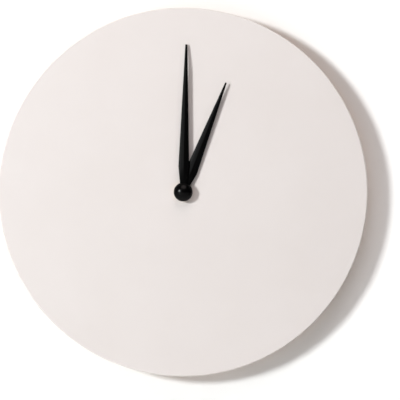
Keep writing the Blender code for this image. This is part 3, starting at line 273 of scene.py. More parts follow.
def battery_material():
    """A printed film with a pale band and hair lines near the plus end, and plated ends inside the film's rim."""
    made, nodes, shader, place = shader_of("battery_film_and_ends")
    link = nodes.tree.links.new
    apart = nodes.add("ShaderNodeSeparateXYZ", {"Vector": place})
    centred = nodes.add("ShaderNodeVectorMath", {0: place, 1: (0, battery_at[1], -battery_at[0])}, operation="ADD")
    off = nodes.add("ShaderNodeVectorMath", {0: centred.outputs[0], 1: (0, 1, 1)}, operation="MULTIPLY")
    reach = nodes.add("ShaderNodeVectorMath", {0: off.outputs[0]}, operation="LENGTH").outputs["Value"]
    edge = battery_radius - 1.0 * MM
    film = nodes.add("ShaderNodeMath", {0: reach, 1: edge}, operation="GREATER_THAN").outputs[0]

    def between(low, high):
        above = nodes.add("ShaderNodeMath", {0: apart.outputs["X"], 1: low}, operation="GREATER_THAN").outputs[0]
        below = nodes.add("ShaderNodeMath", {0: apart.outputs["X"], 1: high}, operation="LESS_THAN").outputs[0]
        return nodes.add("ShaderNodeMath", {0: above, 1: below}, operation="MULTIPLY").outputs[0]

    end = battery_high[0]
    band = between(end - 12 * MM, end - 4.5 * MM)
    line = between(end - 13.4 * MM, end - 12.8 * MM)
    marks = nodes.add("ShaderNodeMath", {0: band, 1: line}, operation="MAXIMUM").outputs[0]
    cloud = spread(nodes, noise(nodes, place, 300), 0, 1)
    body = blend_colours(nodes, cloud, (0.030, 0.085, 0.200, 1), (0.028, 0.079, 0.188, 1))
    pale = blend_colours(nodes, cloud, (0.62, 0.63, 0.62, 1), (0.57, 0.58, 0.57, 1))
    printed = blend_colours(nodes, marks, body, pale)
    metal = blend_colours(nodes, cloud, (0.62, 0.61, 0.59, 1), (0.55, 0.54, 0.52, 1))
    link(blend_colours(nodes, film, metal, printed), shader.inputs["Base Color"])
    plated = nodes.add("ShaderNodeMath", {0: 1.0, 1: film}, operation="SUBTRACT").outputs[0]
    link(plated, shader.inputs["Metallic"])
    link(spread(nodes, noise(nodes, place, 700), 0.20, 0.32), shader.inputs["Roughness"])
    relief = nodes.add(
        "ShaderNodeBump", {"Height": noise(nodes, place, 1500), "Strength": 1.0, "Distance": 0.003 * MM}
    )
    link(relief.outputs["Normal"], shader.inputs["Normal"])
    return made


def tint(colour, share):
    """A colour a share darker."""
    return tuple(value * (1 - share) for value in colour)


BLACK = (0.0012, 0.0012, 0.0013)
MATERIALS = {
    "dial_paint": board_material(),
    "hand_lacquer": rough_surface(
        "black_lacquer", BLACK, tint(BLACK, 0.4), (0.33, 0.40), grain=120, fine=2500, bump=0.004, specular=0.08
    ),
    "cap_plastic": rough_surface(
        "gloss_black", BLACK, tint(BLACK, 0.4), (0.22, 0.28), grain=300, fine=1500, bump=0.001, specular=0.12
    ),
    "case_plastic": rough_surface(
        "moulded_black", (0.030, 0.030, 0.032), (0.040, 0.040, 0.042), (0.40, 0.52), grain=250, fine=3800, bump=0.05
    ),
    "gear_plastic": rough_surface(
        "moulded_white", (0.72, 0.71, 0.68), (0.66, 0.65, 0.61), (0.35, 0.45), grain=200, fine=3000, bump=0.01
    ),
    "knob_plastic": rough_surface(
        "knob_white", (0.72, 0.71, 0.68), (0.66, 0.65, 0.61), (0.38, 0.46), grain=200, fine=3000, bump=0.004
    ),
    "laminate": rough_surface(
        "green_laminate", (0.03, 0.20, 0.08), (0.02, 0.15, 0.06), (0.35, 0.45), grain=800, fine=4000, bump=0.02
    ),
    "chip_resin": rough_surface(
        "black_resin", (0.01, 0.01, 0.01), (0.015, 0.015, 0.015), (0.3, 0.45), grain=700, fine=4000, bump=0.02
    ),
    "rubber": rough_surface(
        "black_rubber", (0.018, 0.018, 0.018), (0.028, 0.027, 0.026), (0.75, 0.9), grain=500, fine=4500, bump=0.05
    ),
    "brass": rough_surface(
        "turned_brass", (0.76, 0.55, 0.24), (0.66, 0.45, 0.18), (0.24, 0.36), 1.0, grain=500, fine=5000, bump=0.01
    ),
    "steel": rough_surface(
        "plated_steel", (0.60, 0.60, 0.61), (0.50, 0.50, 0.51), (0.26, 0.40), 1.0, grain=500, fine=5000, bump=0.01
    ),
    "copper_wire": rough_surface(
        "enamelled_copper",
        (0.72, 0.31, 0.15),
        (0.55, 0.22, 0.10),
        (0.28, 0.40),
        1.0,
        grain=1500,
        fine=9000,
        bump=0.05,
    ),
    "magnet": rough_surface(
        "sintered_magnet", (0.12, 0.12, 0.13), (0.09, 0.09, 0.10), (0.35, 0.5), 0.8, grain=900, fine=6000, bump=0.03
    ),
    "battery_jacket": battery_material(),
}

# ---------------------------------------------------------------- modelling helpers
PLAN_TO_CLOCK = Matrix.Rotation(math.pi / 2, 4, "X")  # plan X, plan Y and depth become X, Z and -Y


def new_piece(name, mesh, slot, body="clock_body", stands_for=(), degrees=35, matrix=None, flat=False):
    """A finished piece from a mesh drawn in plan: it rides on a body and stands for CAD nodes.

    With flat set, its large faces keep one normal each, so that long thin triangles don't show in them."""
    if matrix is not None:
        mesh.transform(matrix)
    mesh.transform(PLAN_TO_CLOCK)
    mesh.materials.clear()
    mesh.materials.append(MATERIALS[slot])
    mesh.polygons.foreach_set("material_index", [0] * len(mesh.polygons))
    mesh.shade_smooth()
    mesh.set_sharp_from_angle(angle=math.radians(degrees))
    piece = bpy.data.objects.new(name, mesh)
    bpy.context.scene.collection.objects.link(piece)
    if flat:
        piece.modifiers.new("flat_faces", "WEIGHTED_NORMAL").keep_sharp = True
    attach(piece, body)
    if stands_for:
        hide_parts(*stands_for)
    return piece


def turned_mesh(name, profile, points=128, closed=True):
    """A mesh turned round the depth axis from a half section of (radius, depth) corners, from top to bottom."""
    shape = bmesh.new()
    corners = [shape.verts.new((radius, 0, depth)) for radius, depth in profile]
    edges = [shape.edges.new(pair) for pair in zip(corners, corners[1:])]
    if closed:
        edges.append(shape.edges.new((corners[-1], corners[0])))
    bmesh.ops.spin(
        shape,
        geom=corners + edges,
        cent=(0, 0, 0),
        axis=(0, 0, 1),
        angle=2 * math.pi,
        steps=points,
        use_duplicate=False,
    )
    bmesh.ops.remove_doubles(shape, verts=shape.verts, dist=1e-7)
    bmesh.ops.recalc_face_normals(shape, faces=shape.faces)
    mesh = bpy.data.meshes.new(name)
    shape.to_mesh(mesh)
    shape.free()
    return mesh


def arc(centre, radius, start, end, steps):
    """Points of an arc between two angles in degrees."""
    points = []
    for step in range(steps + 1):
        angle = math.radians(start + (end - start) * step / steps)
        points.append((centre[0] + radius * math.cos(angle), centre[1] + radius * math.sin(angle)))
    return points


def evaluated_mesh(piece):
    """The mesh of an object with its modifiers, after which the object is removed."""
    bpy.context.view_layer.update()
    made = bpy.data.meshes.new_from_object(piece.evaluated_get(bpy.context.evaluated_depsgraph_get()))
    bpy.data.objects.remove(piece)
    return made


def combined(mesh, steps):
    """A mesh joined with or cut by others: each step is UNION, DIFFERENCE or INTERSECT and a mesh."""
    base = bpy.data.objects.new("base", mesh)
    bpy.context.scene.collection.objects.link(base)
    helpers = []
    for operation, other in steps:
        helper = bpy.data.objects.new("helper", other)
        bpy.context.scene.collection.objects.link(helper)
        change = base.modifiers.new("change", "BOOLEAN")
        change.operation = operation
        change.solver = "EXACT"
        change.object = helper
        helpers.append(helper)
    made = evaluated_mesh(base)
    for helper in helpers:
        bpy.data.objects.remove(helper)
    return made


def circle(radius, at=(0, 0), points=96):
    """A circle's outline, running anticlockwise."""
    return arc(at, radius, 0.0, 360 - 360 / points, points - 1)


def rounded(left, right, bottom, top, corner, steps=8):
    """A rectangle's outline with rounded corners, running anticlockwise."""
    points = []
    for x, y, start in (
        (right - corner, top - corner, 0),
        (left + corner, top - corner, 90),
        (left + corner, bottom + corner, 180),
        (right - corner, bottom + corner, 270),
    ):
        points += arc((x, y), corner, start, start + 90, steps)
    return points


def inset(outline, distance):
    """An anticlockwise outline moved inwards by a distance."""
    moved = []
    for index, (x, y) in enumerate(outline):
        before, after = outline[index - 1], outline[(index + 1) % len(outline)]
        first = Vector((x - before[0], y - before[1])).normalized()
        second = Vector((after[0] - x, after[1] - y)).normalized()
        across = Vector((-first.y - second.y, first.x + second.x)).normalized()
        share = distance / max(0.3, across.dot(Vector((-first.y, first.x))))
        moved.append((x + across.x * share, y + across.y * share))
    return moved


def solid_of(rings):
    """A closed mesh through rings of points that lie one above the other."""
    shape = bmesh.new()
    placed = [[shape.verts.new(point) for point in points] for points in rings]
    for near, far in zip(placed, placed[1:]):
        for index in range(len(near)):
            after = (index + 1) % len(near)
            shape.faces.new((near[index], near[after], far[after], far[index]))
    shape.faces.new(reversed(placed[0]))
    shape.faces.new(placed[-1])
    bmesh.ops.recalc_face_normals(shape, faces=shape.faces)
    mesh = bpy.data.meshes.new("solid")
    shape.to_mesh(mesh)
    shape.free()
    return mesh


def pressed(outline, back, front, back_edge=0.0, front_edge=0.0, steps=3):
    """A plate with rounded back and front edges."""
    stations = []
    for step in range(steps if back_edge else 0):
        angle = math.pi / 2 * step / steps
        stations.append((back_edge * (1 - math.sin(angle)), back + back_edge * (1 - math.cos(angle))))
    stations.append((0, back + back_edge))
    stations.append((0, front - front_edge))
    for step in range(1, steps + 1 if front_edge else 1):
        angle = math.pi / 2 * step / steps
        stations.append((front_edge * (1 - math.cos(angle)), front - front_edge * (1 - math.sin(angle))))
    return solid_of([[(x, y, depth) for x, y in inset(outline, share)] for share, depth in stations])


def plate(outlines, back, front):
    """A flat plate: the first outline is its edge, and the others are holes in it."""
    drawing = bpy.data.curves.new("drawing", "CURVE")
    drawing.dimensions = "2D"
    drawing.fill_mode = "BOTH"
    drawing.extrude = (front - back) / 2
    for outline in outlines:
        spline = drawing.splines.new("POLY")
        spline.points.add(len(outline) - 1)
        for point, (x, y) in zip(spline.points, outline):
            point.co = (x, y, 0, 1)
        spline.use_cyclic_u = True
    guide = bpy.data.objects.new("guide", drawing)
    bpy.context.scene.collection.objects.link(guide)
    mesh = evaluated_mesh(guide)
    return cleaned(mesh, Matrix.Translation((0, 0, (front + back) / 2)))


def cleaned(mesh, matrix):
    """A mesh whose doubled corners are merged, moved by a matrix."""
    shape = bmesh.new()
    shape.from_mesh(mesh)
    bmesh.ops.remove_doubles(shape, verts=shape.verts, dist=1e-7)
    bmesh.ops.transform(shape, matrix=matrix, verts=shape.verts)
    bmesh.ops.recalc_face_normals(shape, faces=shape.faces)
    shape.to_mesh(mesh)
    shape.free()
    return mesh


def cad_copy(node):
    """A node's own mesh, copied and laid in plan."""
    return cleaned(frame["nodes"][node].data.copy(), PLAN_TO_CLOCK.inverted())


def block(left, right, bottom, top, back, front):
    """A square-edged block to cut with."""
    return pressed([(right, top), (left, top), (left, bottom), (right, bottom)], back, front)


def bent_arrow(at, radius, start, end, width, head):
    """The outline of an arrow bent round a point, from one angle to another."""
    turn = math.copysign(1, end - start)
    body_end = end - turn * math.degrees(head * 1.3 / radius)
    outline = arc(at, radius + width / 2, start, body_end, 20)
    for reach, degrees in ((radius + head / 2, body_end), (radius, end), (radius - head / 2, body_end)):
        outline += arc(at, reach, degrees, degrees, 1)[:1]
    outline += arc(at, radius - width / 2, body_end, start, 20)
    return outline if turn > 0 else outline[::-1]


def cross_outline(at, reach, width, upright=True):
    """The outline of a plus sign, or of a minus sign."""
    x, y, half = at[0], at[1], width / 2
    if not upright:
        return [(x + reach, y + half), (x - reach, y + half), (x - reach, y - half), (x + reach, y - half)]
    corner = [(half, half), (half, reach), (-half, reach)]
    points = []
    for quarter in range(4):
        spin = Matrix.Rotation(math.radians(90 * quarter), 2)
        points += [tuple(Vector((x, y)) + spin @ Vector(place)) for place in corner]
    return points


# ---------------------------------------------------------------- dial board


def build_board():
    """The board: a softened front edge, a slight chamfer behind and the hole for the bushing."""
    edge = BOARD_EDGE_RADIUS
    profile = [
        *reversed(arc((board_radius - edge, board_front - edge), edge, 0, 90, 8)),
        (board_radius, board_back + BOARD_BACK_CHAMFER),
        (board_radius - BOARD_BACK_CHAMFER, board_back),
        (BOARD_HOLE, board_back),
        (BOARD_HOLE, board_front),
    ]
    new_piece("painted_board", turned_mesh("painted_board", profile, 256), "dial_paint", stands_for=["dial_board"])


# ---------------------------------------------------------------- hands and cap


def blade_section(hand, at):
    """The closed section of a folded blade at a distance from the pivot, as points across and in depth."""
    length, widest = hand["length"], hand["widest_at"]
    if at < widest:
        half = hand["neck"] + (hand["half_width"] - hand["neck"]) * at / widest
    else:
        half = hand["half_width"] + (hand["tip"] - hand["half_width"]) * (at - widest) / (length - widest)
    bent = max(0.0, at - hand["bend_from"]) / (length - hand["bend_from"])
    ridge = hand["rise"] * at / length - hand["bend"] * bent**2
    opened = min(1.0, max(0.0, (at - FOLD_STARTS_AT) / (widest - FOLD_STARTS_AT)))
    slope = FOLD * opened
    thick = hand["thickness"]

    def surface(across):
        return ridge - slope * (math.hypot(across, CREASE) - CREASE)

    inner = half - BLADE_EDGE
    spots = [-inner, -inner / 2, -3 * CREASE, -CREASE, 0, CREASE, 3 * CREASE, inner / 2, inner]
    front = [(spot, surface(spot)) for spot in spots]
    low = surface(inner)
    right = [(half - BLADE_EDGE * 0.3, low - BLADE_EDGE * 0.3), (half, low - BLADE_EDGE)]
    right += [(half, low - thick + BLADE_EDGE * 0.5), (inner, low - thick)]
    back = [(spot, surface(spot) - thick) for spot in reversed(spots[1:-1])]
    left = [(-across, depth) for across, depth in reversed(right)]
    return front + right + back + left


def hand_mesh(name, hand):
    """A folded blade with rounded edges, joined to its bored hub, pointing up the plan."""
    steps = 60
    start = 2.6 * MM
    shape = bmesh.new()
    rings = []
    for step in range(steps + 1):
        at = start + (hand["length"] - start) * step / steps
        rings.append([shape.verts.new((across, at, depth)) for across, depth in blade_section(hand, at)])
    for near, far in zip(rings, rings[1:]):
        for index in range(len(near)):
            after = (index + 1) % len(near)
            shape.faces.new((near[index], near[after], far[after], far[index]))
    shape.faces.new(reversed(rings[0]))
    shape.faces.new(rings[-1])
    bmesh.ops.recalc_face_normals(shape, faces=shape.faces)
    mesh = bpy.data.meshes.new(name)
    shape.to_mesh(mesh)
    shape.free()
    thick, hub, fillet = hand["thickness"], hand["hub"], 0.1 * MM
    back, front = -thick - HUB_EXTRA, HUB_EXTRA
    boss = [
        (0, front),
        (hub - fillet, front),
        (hub, front - fillet),
        (hub, back),
        (0, back),
    ]
    bore = [(hand["bore"], front + MM), (hand["bore"], back - MM)]
    bore = [(0, front + MM), *bore, (0, back - MM)]
    return combined(
        mesh,
        [
            ("UNION", turned_mesh("hub", boss, 96, closed=False)),
            ("DIFFERENCE", turned_mesh("bore", bore, 64, closed=False)),
        ],
    )


def build_hands():
    """Both hands, each turned from twelve o'clock to where the photo has it."""
    for name, node, body, hand, front in (
        ("hour_blade", "hour_hand", "hour", HOUR, hour_hand_front),
        ("minute_blade", "minute_hand", "minute", MINUTE, minute_hand_front),
    ):
        place = Matrix.Translation((0, 0, front)) @ Matrix.Rotation(-hand["angle"], 4, "Z")
        new_piece(name, hand_mesh(name, hand), "hand_lacquer", body, [node], 40, place)


def build_cap():
    """The domed cap with its short rim, hollow behind for the end of the minute pipe."""
    socket = 1.8 * MM
    dome = CAP_CURVE * cap_radius
    centre = cap_back + CAP_RIM - math.sqrt(dome**2 - cap_radius**2)
    widest = math.degrees(math.asin(cap_radius / dome))
    fillet = CAP_RIM_FILLET
    profile = arc((0, centre), dome, 90, 90 - widest, 28)
    profile[-1] = (cap_radius, cap_back + CAP_RIM - fillet)
    profile += [
        (cap_radius, cap_back + fillet),
        (cap_radius - fillet, cap_back),
        (MINUTE["bore"], cap_back),
        (MINUTE["bore"], cap_back + socket),
        (0, cap_back + socket),
    ]
    new_piece("cap_dome", turned_mesh("cap_dome", profile, 128, False), "cap_plastic", "minute", ["hand_cap"], 50)


# ---------------------------------------------------------------- movement


def case_outline(slack):
    """The movement's rounded square outline, moved inwards by a slack."""
    half = case_half - slack
    return rounded(-half, half, case_bottom + slack, case_top - slack, CASE_CORNER - slack, 10)


def build_case():
    """The moulded case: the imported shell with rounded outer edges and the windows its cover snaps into."""
    shell = pressed(case_outline(0.06 * MM), case_back - MM, case_front, 0.0, 0.9 * MM, 5)
    rail = rounded(-RAIL_HALF, RAIL_HALF, case_top - 2 * MM, case_high[2], 0.35 * MM, 4)
    rail = pressed(rail, cover_front + 0.3 * MM, RAIL_FRONT, RAIL_EDGE, RAIL_EDGE)
    envelope = combined(shell, [("UNION", rail)])
    steps = [("INTERSECT", envelope)]
    for side in (-1, 1):
        for height in LUG_HEIGHTS:
            left, right = sorted((side * (case_half - LUG_OUTER), side * (case_half + MM)))
            low = height + WINDOW_SHOULDER
            high = low + LUG_WIDTH - 2 * WINDOW_SHOULDER
            steps.append(("DIFFERENCE", block(left, right, low, high, *WINDOW_DEPTHS)))
    case = combined(cad_copy("front_case"), steps)
    new_piece("moulded_case", case, "case_plastic", "clock_body", ["front_case"], 30, None, True)


def build_cover():
    """The rear cover: a raised rim, a raised ring and arrow round the knob, polarity signs and a blank panel."""
    bottom = cover_low[2]
    rim = 1.5 * MM
    outer = case_half - rim
    pocket = rounded(-outer, outer, bottom + rim, case_top - rim, CASE_CORNER - rim, 6)
    ring_radius = knob_radius + 1.7 * MM
    sign_height = bottom + 4.2 * MM
    sign_in, sign_reach, stroke, arrow_head = 5.5 * MM, 1.6 * MM, 0.8 * MM, 2.4 * MM
    islands = [
        circle(ring_radius, knob_at, 72),
        bent_arrow(knob_at, ring_radius + 1.6 * MM, 40, 140, stroke, arrow_head),
        cross_outline((case_half - sign_in, sign_height), sign_reach, stroke),
        cross_outline((sign_in - case_half, sign_height), sign_reach, stroke, upright=False),
    ]
    deep = cover_back + 0.3 * MM
    pocket = combined(
        pressed(pocket, cover_back - MM, deep),
        [("DIFFERENCE", pressed(island, cover_back - 2 * MM, cover_front)) for island in islands],
    )
    panel = rounded(3.5 * MM, 21.5 * MM, 2.0 * MM, 12.0 * MM, 0.8 * MM, 5)
    panel = pressed(panel, cover_back - MM, 0.5 * MM)
    across = 2 * case_half
    steps = [
        ("DIFFERENCE", block(-across, across, case_bottom - MM, bottom, cover_back - MM, cover_front + MM)),
        ("DIFFERENCE", pressed(circle(knob_radius + 0.4 * MM, knob_at), cover_back - MM, cover_front + MM)),
        ("DIFFERENCE", pocket),
        ("DIFFERENCE", panel),
    ]
    for side in (-1, 1):
        for height in LUG_HEIGHTS:
            left, right = sorted((side * (case_half - LUG_OUTER), side * (case_half - LUG_INNER)))
            root, tip = cover_front - LUG_ROOT, cover_front + LUG_REACH
            lug = block(left, right, height, height + LUG_WIDTH, root, tip)
            steps.append(("UNION", lug))
    cover = pressed(case_outline(0.0), cover_back, cover_front, 0.5 * MM, 0.0, 4)
    new_piece("snap_cover", combined(cover, steps), "case_plastic", "clock_body", ["rear_cover"], 30, None, True)


def build_knob():
    """A knurled setting knob, dished behind, with a raised hub and arrow."""
    ridges, count = 24, 192
    rings = []
    for smaller, depth in (
        (0.30 * MM, knob_back),
        (0.09 * MM, knob_back + 0.09 * MM),
        (0.0, knob_back + 0.28 * MM),
        (0.0, knob_front - 0.15 * MM),
        (0.15 * MM, knob_front),
    ):
        points = []
        for step in range(count):
            angle = 2 * math.pi * step / count
            radius = knob_radius - smaller - 0.17 * MM * (1 - math.cos(ridges * angle))
            points.append((radius * math.cos(angle), radius * math.sin(angle), depth))
        rings.append(points)
    dish = plate(
        [circle(4.3 * MM), circle(2.0 * MM), bent_arrow((0, 0), 3.15 * MM, 215, -35, 0.55 * MM, 1.5 * MM)],
        knob_back - MM,
        knob_back + 0.35 * MM,
    )
    bore = plate([circle(1.2 * MM, points=48)], knob_back - MM, knob_front + MM)
    mesh = combined(solid_of(rings), [("DIFFERENCE", dish), ("DIFFERENCE", bore)])
    place = Matrix.Translation((*knob_at, 0))
    new_piece("knurled_knob", mesh, "knob_plastic", "setting", ["setting_knob"], 40, place, True)


def build_hanger():
    """The hanging loop, a rounded bar bent over the nail's slot, on a foot that slides on the case's rail."""
    bottom, top = hanger_low[2], hanger_high[2]
    half, bar = hanger_high[0], 3.5 * MM
    back = -hanger_high[1]
    foot_top = bottom + 3.3 * MM
    slot_bottom = foot_top + 1.7 * MM
    slot_top = slot_bottom + 4.8 * MM
    shoulder = slot_top - bar / 2
    outline = [(-half, foot_top - 1.2 * MM), (half, foot_top - 1.2 * MM)]
    for step in range(41):
        angle = math.pi * step / 40
        outline.append((half * math.cos(angle), shoulder + (top - shoulder) * math.sin(angle)))
    loop = pressed(outline, back, back + 2.6 * MM, 0.7 * MM, 0.7 * MM, 5)
    foot_half = 5.5 * MM
    foot = rounded(-foot_half, foot_half, bottom, foot_top, 0.6 * MM, 4)
    foot = pressed(foot, back, -hanger_low[1], 0.5 * MM, 0.4 * MM)
    wide, notch, corner = 5.5 * MM, 0.9 * MM, 0.8 * MM
    slot = [
        *arc((wide - corner, slot_bottom + corner), corner, -90, 0, 5),
        *arc((wide - corner, slot_top - corner), corner, 0, 90, 5),
        (notch, slot_top),
        (0, slot_top + notch),
        (-notch, slot_top),
        *arc((corner - wide, slot_top - corner), corner, 90, 180, 5),
        *arc((corner - wide, slot_bottom + corner), corner, 180, 270, 5),
    ]
    rail_top = case_high[2]
    step = 1.1 * MM
    reach = (back - MM, -hanger_low[1] + MM)
    steps = [
        ("UNION", foot),
        ("DIFFERENCE", pressed(slot, *reach)),
        ("DIFFERENCE", block(-1.8 * MM, 1.8 * MM, bottom - MM, rail_top - 0.5 * MM, *reach)),
        ("DIFFERENCE", block(-3.3 * MM, 3.3 * MM, rail_top - step - 0.3 * MM, rail_top + 0.3 * MM, *reach)),
    ]
    new_piece("hanging_loop", combined(loop, steps), "case_plastic", "clock_body", ["hanger_loop"], 35, None, True)


def build_battery():
    """A plain cell: rolled edges, a recessed ring at each end and a rounded nub."""
    low, high = battery_low[0], battery_high[0]
    shoulder = high - 1.0 * MM
    radius, nub, roll = battery_radius, 2.7 * MM, 0.7 * MM
    profile = [
        (0, high),
        (nub - 0.4 * MM, high),
        *reversed(arc((nub - 0.4 * MM, high - 0.4 * MM), 0.4 * MM, 0, 90, 5)),
        (nub, shoulder - 0.3 * MM),
        (radius - 1.6 * MM, shoulder - 0.3 * MM),
        (radius - 1.3 * MM, shoulder),
        *reversed(arc((radius - roll, shoulder - roll), roll, 0, 90, 7)),
        (radius, high - 4.2 * MM),
        (radius - 0.05 * MM, high - 4.3 * MM),
        (radius - 0.05 * MM, low + 3.3 * MM),
        (radius, low + 3.2 * MM),
        *reversed(arc((radius - roll, low + roll), roll, -90, 0, 7)),
        (radius - 1.4 * MM, low),
        (radius - 1.7 * MM, low + 0.25 * MM),
        (3.2 * MM, low + 0.25 * MM),
        (3.0 * MM, low),
        (0, low),
    ]
    mesh = turned_mesh("cell", profile, 128, closed=False)
    place = Matrix.Translation((0, *battery_at)) @ Matrix.Rotation(math.pi / 2, 4, "Y")
    new_piece("cell", mesh, "battery_jacket", "battery", ["battery"], 40, place)


def build_spring():
    """The conical spring of round wire at the cell's flat end."""
    wire = 0.25 * MM
    start, end = spring_low[0] + wire, spring_high[0] - wire
    turns, per_turn, sides = 2, 40, 12
    wide = (spring_high[2] - spring_low[2]) / 2 - wire
    narrow = 2.0 * MM
    rings = []
    for step in range(turns * per_turn + 1):
        share = step / (turns * per_turn)
        radius = wide + (narrow - wide) * share
        angle = 2 * math.pi * turns * share
        middle = Vector((start + (end - start) * share, radius * math.cos(angle), radius * math.sin(angle)))
        outwards = Vector((0, math.cos(angle), math.sin(angle)))
        ring = []
        for side in range(sides):
            spin = 2 * math.pi * side / sides
            ring.append(middle + wire * (outwards * math.cos(spin) + Vector((1, 0, 0)) * math.sin(spin)))
        rings.append(ring)
    place = Matrix.Translation((0, *battery_at))
    new_piece("wire_spring", solid_of(rings), "steel", "clock_body", ["negative_spring"], 60, place)


def build_fixing():
    """The nut with its chamfers, the washers, the threaded bushing and the hour hand's collet."""
    flats = (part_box("hex_nut")[1][2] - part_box("hex_nut")[0][2]) / 2
    corner = flats / math.cos(math.pi / 6)
    hole, chamfer = 4.15 * MM, 0.3 * MM
    tall = nut_front - nut_back
    lens = [
        (0, nut_front + 0.001 * MM),
        (flats * 0.97, nut_front),
        (corner + 0.1 * MM, nut_front - 0.42 * MM),
        (corner + 0.1 * MM, nut_back + 0.3 * MM),
        (flats * 0.99, nut_back),
        (0, nut_back - 0.001 * MM),
    ]
    bore = [
        (0, nut_front + MM),
        (hole + chamfer, nut_front + MM),
        (hole + chamfer, nut_front),
        (hole, nut_front - chamfer),
        (hole, nut_back + chamfer),
        (hole + chamfer, nut_back),
        (hole + chamfer, nut_back - MM),
        (0, nut_back - MM),
    ]
    hexagon = pressed(circle(corner, points=6), nut_back - tall, nut_front + tall)
    nut = combined(
        hexagon,
        [
            ("INTERSECT", turned_mesh("lens", lens, 96, closed=False)),
            ("DIFFERENCE", turned_mesh("bore", bore, 96, closed=False)),
        ],
    )
    new_piece("chamfered_nut", nut, "brass", "clock_body", ["hex_nut"], 25)
    for name, node, slot, back, front, rounding in (
        ("rubber_ring", "rubber_washer", "rubber", rubber_back, rubber_front, 0.15 * MM),
        ("brass_ring", "brass_washer", "brass", brass_back, brass_front, 0.08 * MM),
    ):
        radius = radius_of(node)
        profile = [
            *reversed(arc((radius - rounding, front - rounding), rounding, 0, 90, 4)),
            *reversed(arc((radius - rounding, back + rounding), rounding, -90, 0, 4)),
            (hole, back),
            (hole, front),
        ]
        new_piece(name, turned_mesh(name, profile, 128), slot, "clock_body", [node])
    radius, pitch, deep = 3.95 * MM, 0.5 * MM, 0.16 * MM
    flange, flange_front = radius_of("threaded_bushing"), bushing_back + 0.7 * MM
    profile = [(radius - 0.25 * MM, bushing_front), (radius, bushing_front - 0.25 * MM)]
    depth = bushing_front - 0.4 * MM
    while depth > flange_front + 2.2 * MM:
        profile += [(radius, depth), (radius - deep, depth - pitch * 0.45), (radius, depth - pitch * 0.9)]
        depth -= pitch
    profile += [
        (radius, flange_front),
        (flange, flange_front),
        (flange, bushing_back),
        (2.45 * MM, bushing_back),
        (2.45 * MM, bushing_front - 0.15 * MM),
        (2.6 * MM, bushing_front),
    ]
    bushing = turned_mesh("bushing", profile, 96)
    new_piece("bushing_thread", bushing, "brass", "clock_body", ["threaded_bushing"], 30)
    wide, body, bore_radius, rounding = radius_of("hour_collet"), 3.05 * MM, 2.45 * MM, 0.08 * MM
    profile = [
        *reversed(arc((wide - rounding, collet_front - rounding), rounding, 0, 90, 3)),
        (wide, collet_front - 0.35 * MM),
        (body, collet_front - 0.35 * MM),
        (body, collet_back),
        (bore_radius, collet_back),
        (bore_radius, collet_front),
    ]
    new_piece("collet", turned_mesh("collet", profile, 96), "brass", "hour", ["hour_collet"])


# ---------------------------------------------------------------- studio


def stage_plane(name, corners, material):
    """A flat piece of the stage, which isn't part of the clock."""
    mesh = bpy.data.meshes.new(name)
    mesh.from_pydata(corners, [], [range(len(corners))])
    mesh.materials.append(material)
    plane = bpy.data.objects.new(name, mesh)
    bpy.context.scene.collection.objects.link(plane)
    return plane


def studio_surface(name, colour, one_sided=False, seen=0.0):
    """Matt pale paint. One-sided paint lets light and the eye through from behind; seen glows for the camera."""
    made, nodes, shader, place = shader_of(name)
    link = nodes.tree.links.new
    cloud = spread(nodes, noise(nodes, place, 3, 3), 0, 1)
    link(blend_colours(nodes, cloud, (*colour, 1), (*tint(colour, 0.01), 1)), shader.inputs["Base Color"])
    shader.inputs["Roughness"].default_value = 0.9
    shader.inputs["Specular IOR Level"].default_value = 0.0
    if seen:
        eye = nodes.add("ShaderNodeLightPath").outputs["Is Camera Ray"]
        glow = nodes.add("ShaderNodeMath", {0: eye, 1: seen}, operation="MULTIPLY").outputs[0]
        link(glow, shader.inputs["Emission Strength"])
        shader.inputs["Emission Color"].default_value = (*colour, 1)
    if one_sided:
        side = nodes.add("ShaderNodeNewGeometry").outputs["Backfacing"]
        shadow = nodes.add("ShaderNodeLightPath").outputs["Is Shadow Ray"]
        open_side = nodes.add("ShaderNodeMath", {0: side, 1: shadow}, operation="MAXIMUM").outputs[0]
        clear = nodes.add("ShaderNodeBsdfTransparent").outputs[0]
        mixed = nodes.add("ShaderNodeMixShader", {0: open_side, 1: shader.outputs[0], 2: clear})
        output = nodes.tree.nodes["Material Output"]
        link(mixed.outputs[0], output.inputs["Surface"])
    return made


# Each lamp's name, place, size, power and colour, and whether it shows in shiny surfaces.
LIGHTS = (
    ("key", (-2.41, -2.86, 0.71), 0.66, 120.0, (0.975, 1.0, 0.99), True),
    ("front_fill", (-0.4, -1.6, 0.2), 2.2, 3.6, (0.86, 0.94, 1.0), False),
    ("top_fill", (0.1, -0.9, 1.25), 1.2, 9.0, (1.0, 0.87, 0.84), True),
    ("back_key", (-0.50, 0.60, 0.42), 0.36, 3.2, (1, 1, 1), True),
    ("back_fill", (0.60, 0.56, 0.11), 0.40, 1.5, (1, 1, 1), True),
)
WORLD_LIGHT = 0.03  # how much light the world gives
WORLD_SEEN = 0.86  # how bright the world looks to the camera
FLOOR_SEEN = 0.75  # how much the floor glows for the camera alone
WALL_HALF = 0.6
FLOOR_LEVEL = -0.45
FLOOR_HALF = 7.0


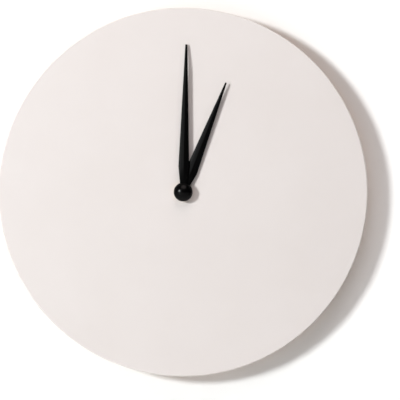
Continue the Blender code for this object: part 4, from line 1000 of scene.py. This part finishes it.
def build_stage():
    """The wall that the clock hangs on, just behind it, and a wide floor below."""
    wall = 0.2 * MM
    stage_plane(
        "wall",
        [
            (-WALL_HALF, wall, FLOOR_LEVEL),
            (WALL_HALF, wall, FLOOR_LEVEL),
            (WALL_HALF, wall, WALL_HALF),
            (-WALL_HALF, wall, WALL_HALF),
        ],
        studio_surface("wall_paint", (0.95, 0.95, 0.95), one_sided=True),
    )
    stage_plane(
        "floor",
        [
            (-FLOOR_HALF, -FLOOR_HALF, FLOOR_LEVEL),
            (FLOOR_HALF, -FLOOR_HALF, FLOOR_LEVEL),
            (FLOOR_HALF, FLOOR_HALF, FLOOR_LEVEL),
            (-FLOOR_HALF, FLOOR_HALF, FLOOR_LEVEL),
        ],
        studio_surface("floor_paint", (0.82, 0.81, 0.80), seen=FLOOR_SEEN),
    )


def area_light(name, at, size, power, colour, glossy):
    """A soft round lamp that looks at the dial's middle and isn't seen itself."""
    lamp = bpy.data.lights.new(name, "AREA")
    lamp.shape = "DISK"
    lamp.size = size
    lamp.energy = power
    lamp.color = colour
    lit = bpy.data.objects.new(name, lamp)
    lit.location = at
    lit.rotation_euler = (-Vector(at)).to_track_quat("-Z", "Y").to_euler()
    lit.visible_camera = False
    lit.visible_glossy = glossy
    bpy.context.scene.collection.objects.link(lit)


def build_lights():
    """The lamps, and a world that looks brighter to the camera than the light it gives."""
    for lamp in LIGHTS:
        area_light(*lamp)
    world = bpy.data.worlds.new("studio")
    world.use_nodes = True
    nodes = Nodes(world.node_tree)
    background = world.node_tree.nodes["Background"]
    seen = nodes.add("ShaderNodeLightPath").outputs["Is Camera Ray"]
    strength = nodes.add("ShaderNodeMapRange", {"Value": seen, "To Min": WORLD_LIGHT, "To Max": WORLD_SEEN})
    world.node_tree.links.new(strength.outputs["Result"], background.inputs["Strength"])
    background.inputs["Color"].default_value = (1, 0.99, 0.985, 1)
    bpy.context.scene.world = world


CAMERA_DISTANCE = 2.4
FRAME_WIDTH = 271.1 * MM  # how much of the dial's plane the picture takes in
CAMERA_AIM = (11.4 * MM, -5.4 * MM)  # the picture's middle, from the dial's


def build_camera():
    """A long lens straight in front of the dial, turned a little to the right and down."""
    data = bpy.data.cameras.new("camera")
    data.sensor_width = SENSOR_WIDTH
    data.lens = data.sensor_width * CAMERA_DISTANCE / FRAME_WIDTH
    camera = bpy.data.objects.new("camera", data)
    start = Vector((0, -board_front - CAMERA_DISTANCE, 0))
    camera.location = start
    aim = Vector((CAMERA_AIM[0], -board_front, CAMERA_AIM[1]))
    camera.rotation_euler = (aim - start).to_track_quat("-Z", "Y").to_euler()
    bpy.context.scene.collection.objects.link(camera)
    bpy.context.scene.camera = camera


def paint_cad_nodes():
    """Gives every CAD node its slot's material."""
    for subpart in frame["record"]["subparts"]:
        node = frame["nodes"][subpart["node"]]
        for place in node.material_slots:
            place.material = MATERIALS[subpart["material_slot"]]


build_camera()
build_stage()
paint_cad_nodes()
build_board()
build_hands()
build_cap()
build_fixing()
build_case()
build_cover()
build_knob()
build_hanger()
build_battery()
build_spring()
build_lights()
bpy.context.scene.view_settings.view_transform = "Standard"
